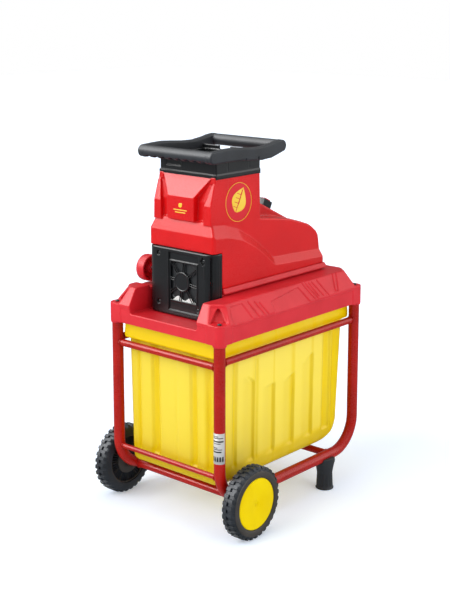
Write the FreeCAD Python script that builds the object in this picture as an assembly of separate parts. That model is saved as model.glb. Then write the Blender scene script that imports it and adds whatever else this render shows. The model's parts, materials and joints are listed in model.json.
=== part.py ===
"""Electric roller-type garden shredder (wood chipper) on a wheeled tube frame.

Millimetres. X runs across the machine, Y along it with the wheels at -Y, Z up.
Everything is drawn about the middle of the four posts, then shifted along Y on export
so that the origin lies on the floor under the middle of the machine.
"""

import FreeCAD, Part
import math
import os

Vector = FreeCAD.Vector
X_AXIS = Vector(1, 0, 0)
Y_AXIS = Vector(0, 1, 0)
Z_AXIS = Vector(0, 0, 1)

# ---- driving dimensions: frame and wheels ----
POST_X = 171.5
POST_Y = 269.5
TUBE_R = 14.0
TUBE_WALL = 1.5
BEND_R = 85.0
RUN_Z = 88.0
POST_TOP = 526.0
BAR_R = 9.0
THIN_BAR_R = 6.5
UPPER_BAR_Z = 428.0
SIDE_RAIL_Z = 438.0
LOWER_BAR_Z = 155.0
AXLE_TUBE_R = 11.0
REAR_TUBE_Y = 172.0
REAR_TUBE_Z = RUN_Z - 2.0
REAR_TUBE_R = 9.0
FOOT_Y = 150.0
FOOT_R = 24.0
FOOT_WAIST = 22.0
FOOT_SADDLE = 32.0
FOOT_TOP = 86.0
WHEEL_R = 90.0
AXLE_Y = -210.0
AXLE_R = 6.0
RUNNING_FIT = 0.05
TREAD_R = 64.0
WHEEL_IN = 198.0
WHEEL_OUT = 239.0
HUB_END = 228.0

# ---- driving dimensions: hood and box ----
HOOD_X = POST_X + 17.0
HOOD_Y = POST_Y + 17.0
HOOD_BOTTOM = 485.0
BOSS_BOTTOM = 479.0
BAND_TOP = 532.0
LEDGE_Z = 512.0
PLATEAU_Z = 574.0
LIP_Z = 592.0
HOOD_WALL = 3.0
NOTCH_X = 112.0
NOTCH_BACK = -187.0
WELL_X = 94.0
WELL_BACK = -30.0
RIM_X = 154.0
NECK_X = 151.5
NECK_Z = 484.5
RIM_TOP = 495.0
BIN_X = 149.0
BIN_FRONT = -254.0
BIN_REAR = 249.0
BIN_BOTTOM = 118.0
BIN_SHOULDER = 440.0
BIN_WALL = 2.5
BIN_CORNER = 18.0
BIN_TAPER = 4.0
BIN_LEAN = 7.0
BIN_SLOPE_RUN = 42.0
BIN_SLOPE_RISE = 44.0
RIM_FRONT = BIN_FRONT - 10.0
RIM_REAR = BIN_REAR + 14.0
RIM_CORNER = 8.0
GRIP_END = 280.0

# ---- driving dimensions: red housing ----
BODY_X = 107.3
TOWER_X = 94.5
BODY_FRONT = -186.0
BODY_REAR = 218.0
SKIN = 3.0
COLLAR_BOTTOM = 862.0
COLLAR_TOP = 899.0
COLLAR_X = 92.5
COLLAR_FRONT = -192.0
COLLAR_REAR = -29.0
TOWER_FOOT = 682.0
COVER_TOP = 680.0
COVER_BOTTOM = 514.0
COVER_FRONT = -225.0
COVER_CORNER = 20.0
WINDOW = (-30.0, 56.0, 552.0, 648.0)
COVER_SCREWS = ((-69.0, 664.0), (78.0, 661.5), (-69.0, 541.0), (59.0, 538.0))
EMBLEM_R = 48.0
EMBLEM_Y = -110.0
EMBLEM_Z = 794.0

# ---- driving dimensions: handle ring ----
RING_IN = 102.0
RING_OUT = 121.0
GRIP_R = 15.0
FRONT_GRIP_Y = -228.0
FRONT_GRIP_Z = 914.0
REAR_GRIP_Y = 25.0
REAR_GRIP_Z = 921.0

# ---- driving dimensions: cutting unit, gears and motor ----
DRUM_X = 8.0
DRUM_Z = 602.0
DRUM_TEETH = 8
DRUM_MODULE = 9.5
DRUM_FRONT = -208.0
DRUM_LENGTH = 92.0
SHAFT_R = 10.0
CHAMBER_FRONT = -216.0
CHAMBER_BACK = -108.0
CHAMBER_LEFT = -86.0
CHAMBER_RIGHT = 68.0
CHAMBER_TOP = 672.0
PLATE = 6.0
CASE_FRONT = -104.0
CASE_BACK = -36.0
CASE_WALL = 4.0
PRESSURE_ANGLE = math.radians(25.0)
STAGES = (
    {"module": 2.5, "gear": 36, "pinion": 12, "front": -98.0, "width": 18.0},
    {"module": 1.75, "gear": 48, "pinion": 12, "front": -76.0, "width": 14.0},
    {"module": 1.0, "gear": 60, "pinion": 12, "front": -58.0, "width": 12.0},
)
SECOND_ANGLE = 140.0
MOTOR_RISE = 43.0
MOTOR_R = 62.0
MOTOR_FRONT = -30.0
MOTOR_BACK = 112.0
KNOB_Y = -176.0
KNOB_Z = 606.0
KNOB_R = 34.0
KNOB_OUT = -169.0
KNOB_IN = -139.0
BOSS_R = 25.0
ANVIL_GAP = 2.5
FLAP_Y = -150.0
RESET_X = 0.0
RESET_Z = 664.0
RESET_R = 5.0

LATCH_DEPTH = 9.0
ORIGIN_SHIFT = (WHEEL_R - AXLE_Y - HOOD_Y - LATCH_DEPTH) / 2.0


# ---- small modelling helpers ----
def block(x0, x1, y0, y1, z0, z1):
    """A box between two corners."""
    return Part.makeBox(x1 - x0, y1 - y0, z1 - z0, Vector(x0, y0, z0))


def rod(radius, start, end):
    """A round bar between two points."""
    along = Vector(*end) - Vector(*start)
    return Part.makeCylinder(radius, along.Length, Vector(*start), along)


def pipe(outer, inner, start, end):
    """A round tube between two points."""
    return rod(outer, start, end).cut(rod(inner, start, end))


def polygon(points):
    """A closed wire through points."""
    vectors = [Vector(*p) for p in points]
    return Part.makePolygon(vectors + vectors[:1])


def prism_x(outline, x0, x1, inset=0.0):
    """Extrude a (y, z) outline along X, first drawn in by inset."""
    wire = polygon([(x0, y, z) for y, z in outline])
    if inset:
        wire = wire.makeOffset2D(-inset)
    return Part.Face(wire).extrude(Vector(x1 - x0, 0, 0))


def prism_y(outline, y0, y1):
    """Extrude an (x, z) outline along Y."""
    wire = polygon([(x, y0, z) for x, z in outline])
    return Part.Face(wire).extrude(Vector(0, y1 - y0, 0))


def prism_z(outline, z0, z1):
    """Extrude an (x, y) outline along Z."""
    wire = polygon([(x, y, z0) for x, y in outline])
    return Part.Face(wire).extrude(Vector(0, 0, z1 - z0))


def rounded_rectangle(x0, x1, y0, y1, radius, z):
    """A closed wire: a rectangle with round corners, lying flat at height z."""
    edges = []
    corners = (
        (x1 - radius, y1 - radius, 0.0),
        (x0 + radius, y1 - radius, 90.0),
        (x0 + radius, y0 + radius, 180.0),
        (x1 - radius, y0 + radius, 270.0),
    )
    ends = []
    for cx, cy, start in corners:
        centre = Vector(cx, cy, z)
        arc = Part.makeCircle(radius, centre, Z_AXIS, start, start + 90.0)
        edges.append(arc)
        ends.append((arc.Vertexes[0].Point, arc.Vertexes[-1].Point))
    for k in range(4):
        edges.append(Part.makeLine(ends[k][1], ends[(k + 1) % 4][0]))
    return Part.Wire(Part.__sortEdges__(edges))


def loft(wires):
    """A straight-sided solid through closed wires."""
    return Part.makeLoft(wires, True, True)


def rectangle(x0, x1, y0, y1, z):
    """A closed rectangular wire lying flat at height z."""
    return polygon([(x0, y0, z), (x1, y0, z), (x1, y1, z), (x0, y1, z)])


def fuse_all(shapes):
    """One shape from several."""
    whole = shapes[0]
    for other in shapes[1:]:
        whole = whole.fuse(other)
    return whole.removeSplitter()


def mirror_x(shape):
    """The same shape on the other side of the machine."""
    return shape.mirror(Vector(0, 0, 0), X_AXIS)


def ring_of(shape, centre, axis, count):
    """Copies of a shape turned evenly about an axis."""
    copies = []
    for k in range(count):
        turned = shape.copy()
        turned.rotate(Vector(*centre), axis, 360.0 * k / count)
        copies.append(turned)
    return copies


# ---- gears ----
def flank_angle(radius, base):
    """The involute function at a radius."""
    ratio = max(radius / base, 1.0)
    tangent = math.sqrt(ratio * ratio - 1.0)
    return tangent - math.atan(tangent)


def gear_outline(teeth, module, phase):
    """Points (x, z) of a spur gear about (0, 0), with a tooth centred at phase degrees."""
    pitch_r = teeth * module / 2.0
    base = pitch_r * math.cos(PRESSURE_ANGLE)
    tip = pitch_r + 0.8 * module
    root = pitch_r - 1.1 * module
    half = math.pi / (2.0 * teeth) - 0.05 * module / pitch_r
    start = max(root, base)
    radii = [start + (tip - start) * k / 3.0 for k in range(4)]
    at_pitch = flank_angle(pitch_r, base)
    flank = [(r, half + at_pitch - flank_angle(r, base)) for r in radii]
    if root < base:
        flank.insert(0, (root, flank[0][1]))
    points = []
    for k in range(teeth):
        middle = math.radians(phase) + 2.0 * math.pi * k / teeth
        for r, a in flank:
            points.append((r * math.cos(middle - a), r * math.sin(middle - a)))
        for r, a in reversed(flank):
            points.append((r * math.cos(middle + a), r * math.sin(middle + a)))
    return points


def gear(teeth, module, phase, centre, front, width):
    """A solid spur gear about a Y axis through centre (x, z)."""
    cx, cz = centre
    outline = [(cx + x, cz + z) for x, z in gear_outline(teeth, module, phase)]
    return prism_y(outline, front, front + width)


def centre_distance(stage):
    """Distance between the two shafts of a stage."""
    return stage["module"] * (stage["gear"] + stage["pinion"]) / 2.0


def meshed_phase(stage, gear_phase, direction):
    """Phase of the pinion that meshes with a gear, which lies in direction from it."""
    gear_pitch = 360.0 / stage["gear"]
    pinion_pitch = 360.0 / stage["pinion"]
    share = (gear_phase - direction) / gear_pitch + 0.5
    return direction + 180.0 - pinion_pitch * share


def direction_of(start, end):
    """Angle in degrees from one (x, z) point to another."""
    return math.degrees(math.atan2(end[1] - start[1], end[0] - start[0]))


def meeting_point(a, reach_a, b, reach_b):
    """The upper point at reach_a from a and reach_b from b."""
    gap = math.hypot(b[0] - a[0], b[1] - a[1])
    along = (reach_a**2 - reach_b**2 + gap**2) / (2.0 * gap)
    height = math.sqrt(reach_a**2 - along**2)
    ux, uz = (b[0] - a[0]) / gap, (b[1] - a[1]) / gap
    one = (a[0] + along * ux - height * uz, a[1] + along * uz + height * ux)
    two = (a[0] + along * ux + height * uz, a[1] + along * uz - height * ux)
    return max(one, two, key=lambda p: p[1])


DRUM_AXIS = (DRUM_X, DRUM_Z)
MOTOR_AXIS = (DRUM_X, DRUM_Z + MOTOR_RISE)
SECOND_AXIS = (
    DRUM_X + centre_distance(STAGES[0]) * math.cos(math.radians(SECOND_ANGLE)),
    DRUM_Z + centre_distance(STAGES[0]) * math.sin(math.radians(SECOND_ANGLE)),
)
FIRST_AXIS = meeting_point(
    MOTOR_AXIS, centre_distance(STAGES[2]), SECOND_AXIS, centre_distance(STAGES[1])
)


# ---- frame ----
def frame_tube():
    """The right-hand U tube: post, bend, bottom run, bend, post. Returns tube and outer solid."""
    bend_y = POST_Y - BEND_R
    bend_z = RUN_Z + BEND_R
    chord = BEND_R * math.sin(math.radians(45.0))
    path = Part.Wire(
        [
            Part.makeLine(Vector(POST_X, -POST_Y, POST_TOP), Vector(POST_X, -POST_Y, bend_z)),
            Part.Arc(
                Vector(POST_X, -POST_Y, bend_z),
                Vector(POST_X, -bend_y - chord, bend_z - chord),
                Vector(POST_X, -bend_y, RUN_Z),
            ).toShape(),
            Part.makeLine(Vector(POST_X, -bend_y, RUN_Z), Vector(POST_X, bend_y, RUN_Z)),
            Part.Arc(
                Vector(POST_X, bend_y, RUN_Z),
                Vector(POST_X, bend_y + chord, bend_z - chord),
                Vector(POST_X, POST_Y, bend_z),
            ).toShape(),
            Part.makeLine(Vector(POST_X, POST_Y, bend_z), Vector(POST_X, POST_Y, POST_TOP)),
        ]
    )
    start = Vector(POST_X, -POST_Y, POST_TOP)
    solids = []
    for radius in (TUBE_R, TUBE_R - TUBE_WALL):
        profile = Part.Wire([Part.makeCircle(radius, start, Z_AXIS)])
        solids.append(path.makePipeShell([profile], True, True))
    outer, inner = solids
    return outer.cut(inner), outer


def foot_solid():
    """Right foot: round at the floor, drawn out along the tube where it clamps on."""

    def level(half_x, half_y, z):
        radius = half_x - 0.5
        return rounded_rectangle(
            POST_X - half_x, POST_X + half_x, FOOT_Y - half_y, FOOT_Y + half_y, radius, z
        )

    return loft(
        [
            level(FOOT_R, FOOT_R, 0.0),
            level(FOOT_WAIST, FOOT_WAIST, FOOT_TOP / 2),
            level(FOOT_WAIST, FOOT_SADDLE, FOOT_TOP),
        ]
    )


def frame_parts():
    """Welded frame, feet, axle and the sticker on the near post."""
    tube, outer = frame_tube()
    other = mirror_x(outer)
    axle_hole = rod(AXLE_R + 0.3, (0, AXLE_Y, WHEEL_R), (WHEEL_IN, AXLE_Y, WHEEL_R))
    right = tube.cut(axle_hole)
    cross = {
        "front_upper_bar": (BAR_R, -POST_Y, UPPER_BAR_Z),
        "front_lower_bar": (THIN_BAR_R, -POST_Y, LOWER_BAR_Z),
        "rear_cross_tube": (REAR_TUBE_R, REAR_TUBE_Y, REAR_TUBE_Z),
    }
    parts = {"frame_tube_right": right, "frame_tube_left": mirror_x(right)}
    for name, (radius, y, z) in cross.items():
        bar = pipe(radius, radius - TUBE_WALL, (-POST_X, y, z), (POST_X, y, z))
        parts[name] = bar.cut(outer).cut(other)
    axle_tube = pipe(
        AXLE_TUBE_R, AXLE_TUBE_R - 2.0, (-POST_X, AXLE_Y, WHEEL_R), (POST_X, AXLE_Y, WHEEL_R)
    )
    parts["axle_tube"] = axle_tube.cut(outer).cut(other)
    rail = pipe(
        BAR_R, BAR_R - TUBE_WALL, (POST_X, -POST_Y, SIDE_RAIL_Z), (POST_X, POST_Y, SIDE_RAIL_Z)
    ).cut(outer)
    rail = max(rail.Solids, key=lambda s: s.Volume)
    parts["side_rail_right"] = rail
    parts["side_rail_left"] = mirror_x(rail)
    cross_tube = rod(REAR_TUBE_R, (0, REAR_TUBE_Y, REAR_TUBE_Z), (POST_X, REAR_TUBE_Y, REAR_TUBE_Z))
    foot = foot_solid().cut(outer).cut(cross_tube)
    foot = min(foot.Solids, key=lambda s: s.BoundBox.ZMin)
    parts["foot_right"] = foot
    parts["foot_left"] = mirror_x(foot)
    parts["axle_rod"] = rod(
        AXLE_R, (-HUB_END - 5, AXLE_Y, WHEEL_R), (HUB_END + 5, AXLE_Y, WHEEL_R)
    )
    spacer = pipe(
        AXLE_R + 4.0,
        AXLE_R + 0.1,
        (POST_X + TUBE_R + 0.2, AXLE_Y, WHEEL_R),
        (WHEEL_IN - 0.4, AXLE_Y, WHEEL_R),
    )
    nut = pipe(
        AXLE_R + 3.5, AXLE_R, (HUB_END + 0.5, AXLE_Y, WHEEL_R), (HUB_END + 5, AXLE_Y, WHEEL_R)
    )
    parts["axle_spacers"] = Part.makeCompound([spacer, mirror_x(spacer)])
    parts["axle_nuts"] = Part.makeCompound([nut, mirror_x(nut)])
    label = pipe(
        TUBE_R + 0.4, TUBE_R, (POST_X, -POST_Y, 195.0), (POST_X, -POST_Y, 271.0)
    ).common(block(POST_X - 12, POST_X + 30, -POST_Y - 30, -POST_Y, 190.0, 280.0))
    parts["post_label"] = label
    return parts


# ---- wheels ----
def wheel_parts(side):
    """Tyre, rim and cap of one wheel; side is 1 for right and -1 for left."""
    axis = X_AXIS
    centre = Vector(0, AXLE_Y, WHEEL_R)

    def revolve(outline):
        wire = polygon([(x, AXLE_Y, WHEEL_R + r) for x, r in outline])
        return Part.Face(wire).revolve(centre, axis, 360.0)

    tyre = revolve(
        [
            (WHEEL_IN, TREAD_R),
            (WHEEL_IN, WHEEL_R - 9.0),
            (WHEEL_IN + 4.0, WHEEL_R - 1.5),
            (WHEEL_IN + 8.0, WHEEL_R),
            (WHEEL_OUT - 8.0, WHEEL_R),
            (WHEEL_OUT - 4.0, WHEEL_R - 1.5),
            (WHEEL_OUT - 1.0, WHEEL_R - 9.0),
            (WHEEL_OUT - 1.0, TREAD_R),
        ]
    )
    bore = AXLE_R + RUNNING_FIT
    web_in = WHEEL_OUT - 14.0
    rim = revolve(
        [
            (WHEEL_IN, bore),
            (WHEEL_IN, 15.0),
            (web_in, 16.0),
            (web_in, TREAD_R - 5.0),
            (WHEEL_IN + 3.0, TREAD_R - 4.0),
            (WHEEL_IN + 3.0, TREAD_R),
            (WHEEL_OUT - 4.0, TREAD_R),
            (WHEEL_OUT - 4.0, TREAD_R - 4.0),
            (HUB_END, TREAD_R - 4.0),
            (HUB_END, bore),
        ]
    )
    spoke = block(
        WHEEL_IN + 5, web_in, AXLE_Y - 1.5, AXLE_Y + 1.5, WHEEL_R + 15, WHEEL_R + TREAD_R - 4
    )
    rim = fuse_all([rim] + ring_of(spoke, (0, AXLE_Y, WHEEL_R), X_AXIS, 12))
    cap = revolve(
        [
            (WHEEL_OUT - 4.0, TREAD_R - 1.0),
            (WHEEL_OUT - 4.0, TREAD_R - 3.5),
            (WHEEL_OUT - 1.6, TREAD_R - 4.0),
            (WHEEL_OUT - 1.6, 0.0),
            (WHEEL_OUT + 0.5, 0.0),
            (WHEEL_OUT + 0.5, TREAD_R - 3.0),
            (WHEEL_OUT - 0.5, TREAD_R - 1.0),
        ]
    )
    name = "right" if side > 0 else "left"
    pieces = {"tyre_" + name: tyre, "wheel_rim_" + name: rim, "hubcap_" + name: cap}
    if side < 0:
        pieces = {key: mirror_x(shape) for key, shape in pieces.items()}
    return pieces


# ---- hood and collection box ----
def hood_solid(inset):
    """The hood as a solid block, drawn in by inset."""
    bottom = HOOD_BOTTOM - (20.0 if inset else 0.0)
    band = loft(
        [
            rounded_rectangle(
                -HOOD_X + inset, HOOD_X - inset, -HOOD_Y + inset, HOOD_Y - inset, 17.0 - inset, z
            )
            for z in (bottom, BAND_TOP - inset)
        ]
    )

    def octagon(long_x, short_x, long_y, short_y, z):
        points = []
        for sx, sy in ((1, 1), (-1, 1), (-1, -1), (1, -1)):
            pair = [(sx * long_x, sy * short_y, z), (sx * short_x, sy * long_y, z)]
            points += pair if sx * sy > 0 else pair[::-1]
        return polygon(points)

    lower = octagon(HOOD_X - inset, 149.0 - inset, HOOD_Y - inset, 252.0 - inset, BAND_TOP - 2 * inset)
    upper = octagon(160.0 - inset, 124.0 - inset, 263.0 - inset, 238.0 - inset, PLATEAU_Z - inset)
    return band.fuse(loft([lower, upper]))


def hood():
    """Red hood: skirt, sloped shoulders, front step, well for the cutting unit, post sockets."""
    outer = hood_solid(0.0)
    inner = hood_solid(HOOD_WALL)

    def step(grow):
        front = block(
            -NOTCH_X - grow, NOTCH_X + grow, -HOOD_Y - 5, NOTCH_BACK + grow, LEDGE_Z - grow, 640
        )
        well = block(-WELL_X - grow, WELL_X + grow, NOTCH_BACK - 5, WELL_BACK + grow, LEDGE_Z - grow, 640)
        return front.fuse(well)

    recess = block(-176, -BODY_X - 2.5, KNOB_Y - 38, KNOB_Y + 38, 566, 600)
    recess_wall = block(-179, -BODY_X, KNOB_Y - 41, KNOB_Y + 41, 563, 600)
    shell = outer.cut(step(0.0)).cut(recess)
    shell = shell.cut(inner.cut(step(HOOD_WALL)).cut(recess_wall))
    lip_outer = prism_z(
        [(-109, NOTCH_BACK), (109, NOTCH_BACK), (109, 222), (-109, 222)], PLATEAU_Z - 2, LIP_Z
    )
    lip_inner = prism_z(
        [(-98, NOTCH_BACK - 3), (98, NOTCH_BACK - 3), (98, 214), (-98, 214)], PLATEAU_Z - 5, LIP_Z + 1
    )
    lip = lip_outer.cut(lip_inner).cut(step(0.0))
    shell = shell.fuse(lip)
    for x in (-POST_X, POST_X):
        for y in (-POST_Y, POST_Y):
            shell = shell.fuse(rod(17.0, (x, y, BOSS_BOTTOM), (x, y, BAND_TOP - 1)))
    for x in (-POST_X, POST_X):
        for y in (-POST_Y, POST_Y):
            shell = shell.cut(rod(TUBE_R + 0.05, (x, y, BOSS_BOTTOM - 1), (x, y, POST_TOP)))
            shell = shell.cut(rod(3.2, (x, y, POST_TOP - 1), (x, y, BAND_TOP + 1)))
            shell = shell.cut(rod(11.0, (x, y, BAND_TOP), (x, y, PLATEAU_Z + 1)))
    rear_gap = block(-155.0, 155.0, HOOD_Y - 30, HOOD_Y + 5, HOOD_BOTTOM - 30, RIM_TOP + 5)
    shell = shell.cut(rear_gap.cut(rod(17.0, (POST_X, POST_Y, 400), (POST_X, POST_Y, 600))))
    discharge = block(DRUM_X - 58, DRUM_X + 58, -212, -112, LEDGE_Z - 10, LEDGE_Z + 5)
    screw_gap = rod(9.0, (-POST_X, KNOB_Y, KNOB_Z), (0, KNOB_Y, KNOB_Z))
    return shell.cut(discharge).cut(screw_gap).removeSplitter()


def hood_parts():
    """Hood, its screws, the slides that carry the box, and the interlock switch."""
    screws = []
    for x in (-POST_X, POST_X):
        for y in (-POST_Y, POST_Y):
            head = rod(5.5, (x, y, BAND_TOP), (x, y, BAND_TOP + 4))
            shank = rod(2.8, (x, y, POST_TOP - 14), (x, y, BAND_TOP))
            screws.append(head.fuse(shank))
    inner_wall = HOOD_X - HOOD_WALL
    shelf = block(NECK_X + 0.6, inner_wall - 0.05, -246, 248, HOOD_BOTTOM + 1, RIM_TOP - 4.5)
    upright = block(inner_wall - 3.0, inner_wall - 0.05, -246, 248, HOOD_BOTTOM + 1, BAND_TOP - 8)
    guide = shelf.fuse(upright).removeSplitter()
    switch = block(-70, -40, -HOOD_Y + 4, -HOOD_Y + 22, RIM_TOP + 2, LEDGE_Z - HOOD_WALL)
    return {
        "hood": hood(),
        "hood_screws": Part.makeCompound(screws),
        "box_guides": Part.makeCompound([guide, mirror_x(guide)]),
        "safety_switch": switch,
    }


def collection_box():
    """Open-topped box that hangs by its rim and pulls out along +Y."""

    def level(half, front, rear, radius, z, inset):
        return rounded_rectangle(
            -half + inset, half - inset, front + inset, rear - inset, radius - inset, z
        )

    def solid(inset):
        floor = BIN_BOTTOM + inset
        shoulder = BIN_SHOULDER + inset
        top = RIM_TOP + (5 if inset else 0)
        body = loft(
            [
                level(BIN_X, BIN_FRONT, BIN_REAR - BIN_LEAN, BIN_CORNER, floor, inset + BIN_TAPER),
                level(BIN_X, BIN_FRONT, BIN_REAR, BIN_CORNER, shoulder, inset),
            ]
        )
        slope_start = BIN_REAR - BIN_LEAN - BIN_SLOPE_RUN - 2 * inset
        slope_end = BIN_REAR + 2
        slope = [
            (slope_start, floor - 1),
            (slope_end, floor - 1),
            (slope_end, floor + BIN_SLOPE_RISE),
        ]
        body = body.cut(prism_x(slope, -200, 200))
        neck = loft(
            [level(NECK_X, RIM_FRONT, RIM_REAR, RIM_CORNER, z, inset) for z in (shoulder, top)]
        )
        return body.fuse(neck)

    def band(bottom, top, rear):
        return loft([level(RIM_X, RIM_FRONT, rear, RIM_CORNER, z, 0) for z in (bottom, top)])

    rim = band(BIN_SHOULDER, NECK_Z, RIM_REAR)
    flange = band(RIM_TOP - 4, RIM_TOP, RIM_REAR + 2)
    grip = block(-70, 70, RIM_REAR - 4, GRIP_END, RIM_TOP - 6, RIM_TOP)
    lip = block(-70, 70, GRIP_END - 4, GRIP_END, RIM_TOP - 22, RIM_TOP)
    box = fuse_all([solid(0.0), rim, flange, grip, lip]).cut(solid(BIN_WALL))
    return {"collection_box": box.removeSplitter()}


def latch_parts():
    """Sliding catch on the hood's rear end that drops in front of the box."""
    bottom = RIM_TOP + 6
    plate = block(-22, 22, HOOD_Y + 0.3, HOOD_Y + 3.5, bottom, bottom + 44)
    grip = block(-22, 22, HOOD_Y + 3.5, HOOD_Y + LATCH_DEPTH, bottom + 34, bottom + 44)
    catch = plate.fuse(grip).removeSplitter()
    rails = []
    for side in (-1, 1):
        x = side * 24.5
        rails.append(
            block(x - 2.0, x + 2.0, HOOD_Y, HOOD_Y + 5.5, bottom + 2, bottom + 30)
        )
    return {"box_latch": catch, "latch_rails": Part.makeCompound(rails)}


# ---- red housing ----
def tower_wires(inset):
    """Level sections of the tower, drawn in by inset."""
    levels = (
        (TOWER_FOOT, BODY_X, -217.7),
        (720.0, 106.2, -217.0),
        (750.0, TOWER_X, -212.5),
        (793.0, 93.9, -211.0),
        (COLLAR_BOTTOM, COLLAR_X, COLLAR_FRONT),
    )
    wires = []
    for z, half, front in levels:
        wires.append(rectangle(-half + inset, half - inset, front + inset, COLLAR_REAR - inset, z))
    return wires


SWOOSH_LOW = [(-217.7, 719), (-157, 713), (-109, 700), (-60, 675), (-20, 647), (16, 618), (214, 609)]
SWOOSH_HIGH = [(-212.5, 749), (-169, 744), (-114, 728), (-69, 703), (-21, 670), (20, 636), (212, 627)]
HUMP = [
    (-110, LIP_Z - 12),
    (-110, 746),
    (-30, 744),
    (44, 733),
    (92, 725),
    (134, 712),
    (168, 701),
    (183, 692),
    (202, 679),
    (210, 667),
    (214, 650),
    (BODY_REAR, 622),
    (BODY_REAR, LIP_Z - 12),
]
RIDGE_X = 42.0
RIDGE = [(-35, 766), (36, 766), (160, 706), (150, 690), (-35, 690)]


def housing_solid(inset):
    """The red housing as a solid, drawn in by inset."""
    base = LIP_Z - 12.0
    foot = [(BODY_FRONT, base), (BODY_FRONT, TOWER_FOOT), (-217.7, TOWER_FOOT)]
    end = [(BODY_REAR, base)]
    low = foot + SWOOSH_LOW + end
    high = foot + SWOOSH_HIGH + end
    tower = loft(tower_wires(inset))
    hump = prism_x(HUMP, -TOWER_X + inset, TOWER_X - inset, inset)
    middle = prism_x(high, -TOWER_X + inset, TOWER_X - inset, inset)
    ridge = prism_x(RIDGE, -RIDGE_X + inset, RIDGE_X - inset, inset)
    shapes = [tower, hump, middle, ridge]
    for side in (-1, 1):
        if inset:
            wide = prism_x(low, side * (BODY_X - inset), side * (TOWER_X - 10), inset)
        else:
            wide = loft(
                [
                    polygon([(side * BODY_X, y, z) for y, z in low]),
                    polygon([(side * TOWER_X, y, z) for y, z in high]),
                ]
            )
        shapes.append(wide)
    whole = shapes[0]
    for shape in shapes[1:]:
        whole = whole.fuse(shape)
    return whole


def badge_block():
    """Raised block on the tower's front that carries the badge."""
    outline = [(-200, 700), (-217.0, 726), (-219.5, 757), (-219.5, 808), (-197, 858), (-190, 858)]
    return prism_x(outline, -44.0, 44.0)


def housing_parts():
    """Red housing shell, badge plate and the two round side emblems."""
    outer = housing_solid(0.0).fuse(badge_block())
    inner = housing_solid(SKIN)
    lower_gap = block(-BODY_X + SKIN, BODY_X - SKIN, BODY_FRONT + SKIN, BODY_REAR - SKIN, 560, LIP_Z)
    shell = outer.cut(inner).cut(lower_gap)
    front_door = block(-BODY_X + 12, BODY_X - 12, BODY_FRONT - 40, BODY_FRONT + 10, 560, TOWER_FOOT + 3)
    throat = block(
        -COLLAR_X + SKIN, COLLAR_X - SKIN, COLLAR_FRONT + SKIN, COLLAR_REAR - SKIN, 850, COLLAR_BOTTOM + 5
    )
    screw_hole = rod(8.0, (-BODY_X - 5, KNOB_Y, KNOB_Z), (-80, KNOB_Y, KNOB_Z))
    inlet = block(-21, 21, BODY_REAR - 20, BODY_REAR + 5, 612, 644)
    slope = switch_place()
    switch_hole = block(-15, 15, -13, 13, -12, 1)
    switch_hole.Placement = slope
    shell = shell.cut(front_door).cut(throat).cut(screw_hole).cut(inlet).cut(switch_hole)
    shell = shell.cut(block(-130, 130, -260, 260, 500, LIP_Z))
    for k in range(5):
        z = LIP_Z + 10 + 9 * k
        for x in (-62, 32):
            shell = shell.cut(block(x, x + 30, BODY_REAR - 20, BODY_REAR + 5, z, z + 4))
    reset_hole = rod(RESET_R + 0.5, (RESET_X, 190, RESET_Z), (RESET_X, BODY_REAR + 5, RESET_Z))
    shell = shell.cut(reset_hole)
    shell = max(shell.removeSplitter().Solids, key=lambda s: s.Volume)
    plate = block(-36, 36, -220.1, -219.5, 764, 802)
    parts = {"main_housing": shell, "badge_plate": plate}
    lean = math.degrees(math.atan((TOWER_X - COLLAR_X) / (COLLAR_BOTTOM - 750.0)))
    disc = rod(EMBLEM_R, (TOWER_X - 3.0, EMBLEM_Y, EMBLEM_Z), (TOWER_X + 0.2, EMBLEM_Y, EMBLEM_Z))
    disc.rotate(Vector(TOWER_X, EMBLEM_Y, EMBLEM_Z), Y_AXIS, -lean)
    disc = disc.cut(outer)
    disc = max(disc.Solids, key=lambda s: s.Volume)
    parts["emblem_right"] = disc
    parts["emblem_left"] = mirror_x(disc)
    return parts


def cover_parts():
    """Black cover over the cutting unit, with its spoked bearing boss, and its screws."""
    front = COVER_FRONT
    side = NOTCH_BACK - 0.5

    def outline(t):
        return [
            (-BODY_X + t, side + (1 if t else 0)),
            (-BODY_X + t, front + COVER_CORNER),
            (-BODY_X + COVER_CORNER, front + t),
            (BODY_X - COVER_CORNER, front + t),
            (BODY_X - t, front + COVER_CORNER),
            (BODY_X - t, side + (1 if t else 0)),
        ]

    shell = prism_z(outline(0.0), COVER_BOTTOM, COVER_TOP).cut(
        prism_z(outline(3.0), COVER_BOTTOM - 1, COVER_TOP - 3.0)
    )
    left, right, low, high = WINDOW
    window = block(left, right, front - 1, front + 5, low, high)
    chute_gap = block(-88, 78, CHAMBER_FRONT - 3, side + 5, COVER_TOP - 10, COVER_TOP + 5)
    shell = shell.cut(window).cut(chute_gap)
    boss = rod(BOSS_R, (DRUM_X, front + 0.5, DRUM_Z), (DRUM_X, front + 5.5, DRUM_Z))
    spokes = []
    for k in range(8):
        bar = block(DRUM_X - 1.5, DRUM_X + 1.5, front + 1.5, front + 5, DRUM_Z + 15, DRUM_Z + 80)
        bar.rotate(Vector(DRUM_X, front, DRUM_Z), Y_AXIS, 45.0 * k + 22.5)
        spokes.append(bar.common(block(left - 1, right + 1, -300, 0, low - 1, high + 1)))
    cover = fuse_all([shell, boss] + spokes)
    screws = []
    for x, z in COVER_SCREWS:
        cover = cover.cut(rod(2.4, (x, front - 1, z), (x, front + 6, z)))
        head = rod(4.5, (x, front - 2, z), (x, front, z))
        screws.append(head.fuse(rod(2.3, (x, front, z), (x, front + 8, z))))
    return {"cutter_cover": cover, "cover_screws": Part.makeCompound(screws)}


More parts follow.
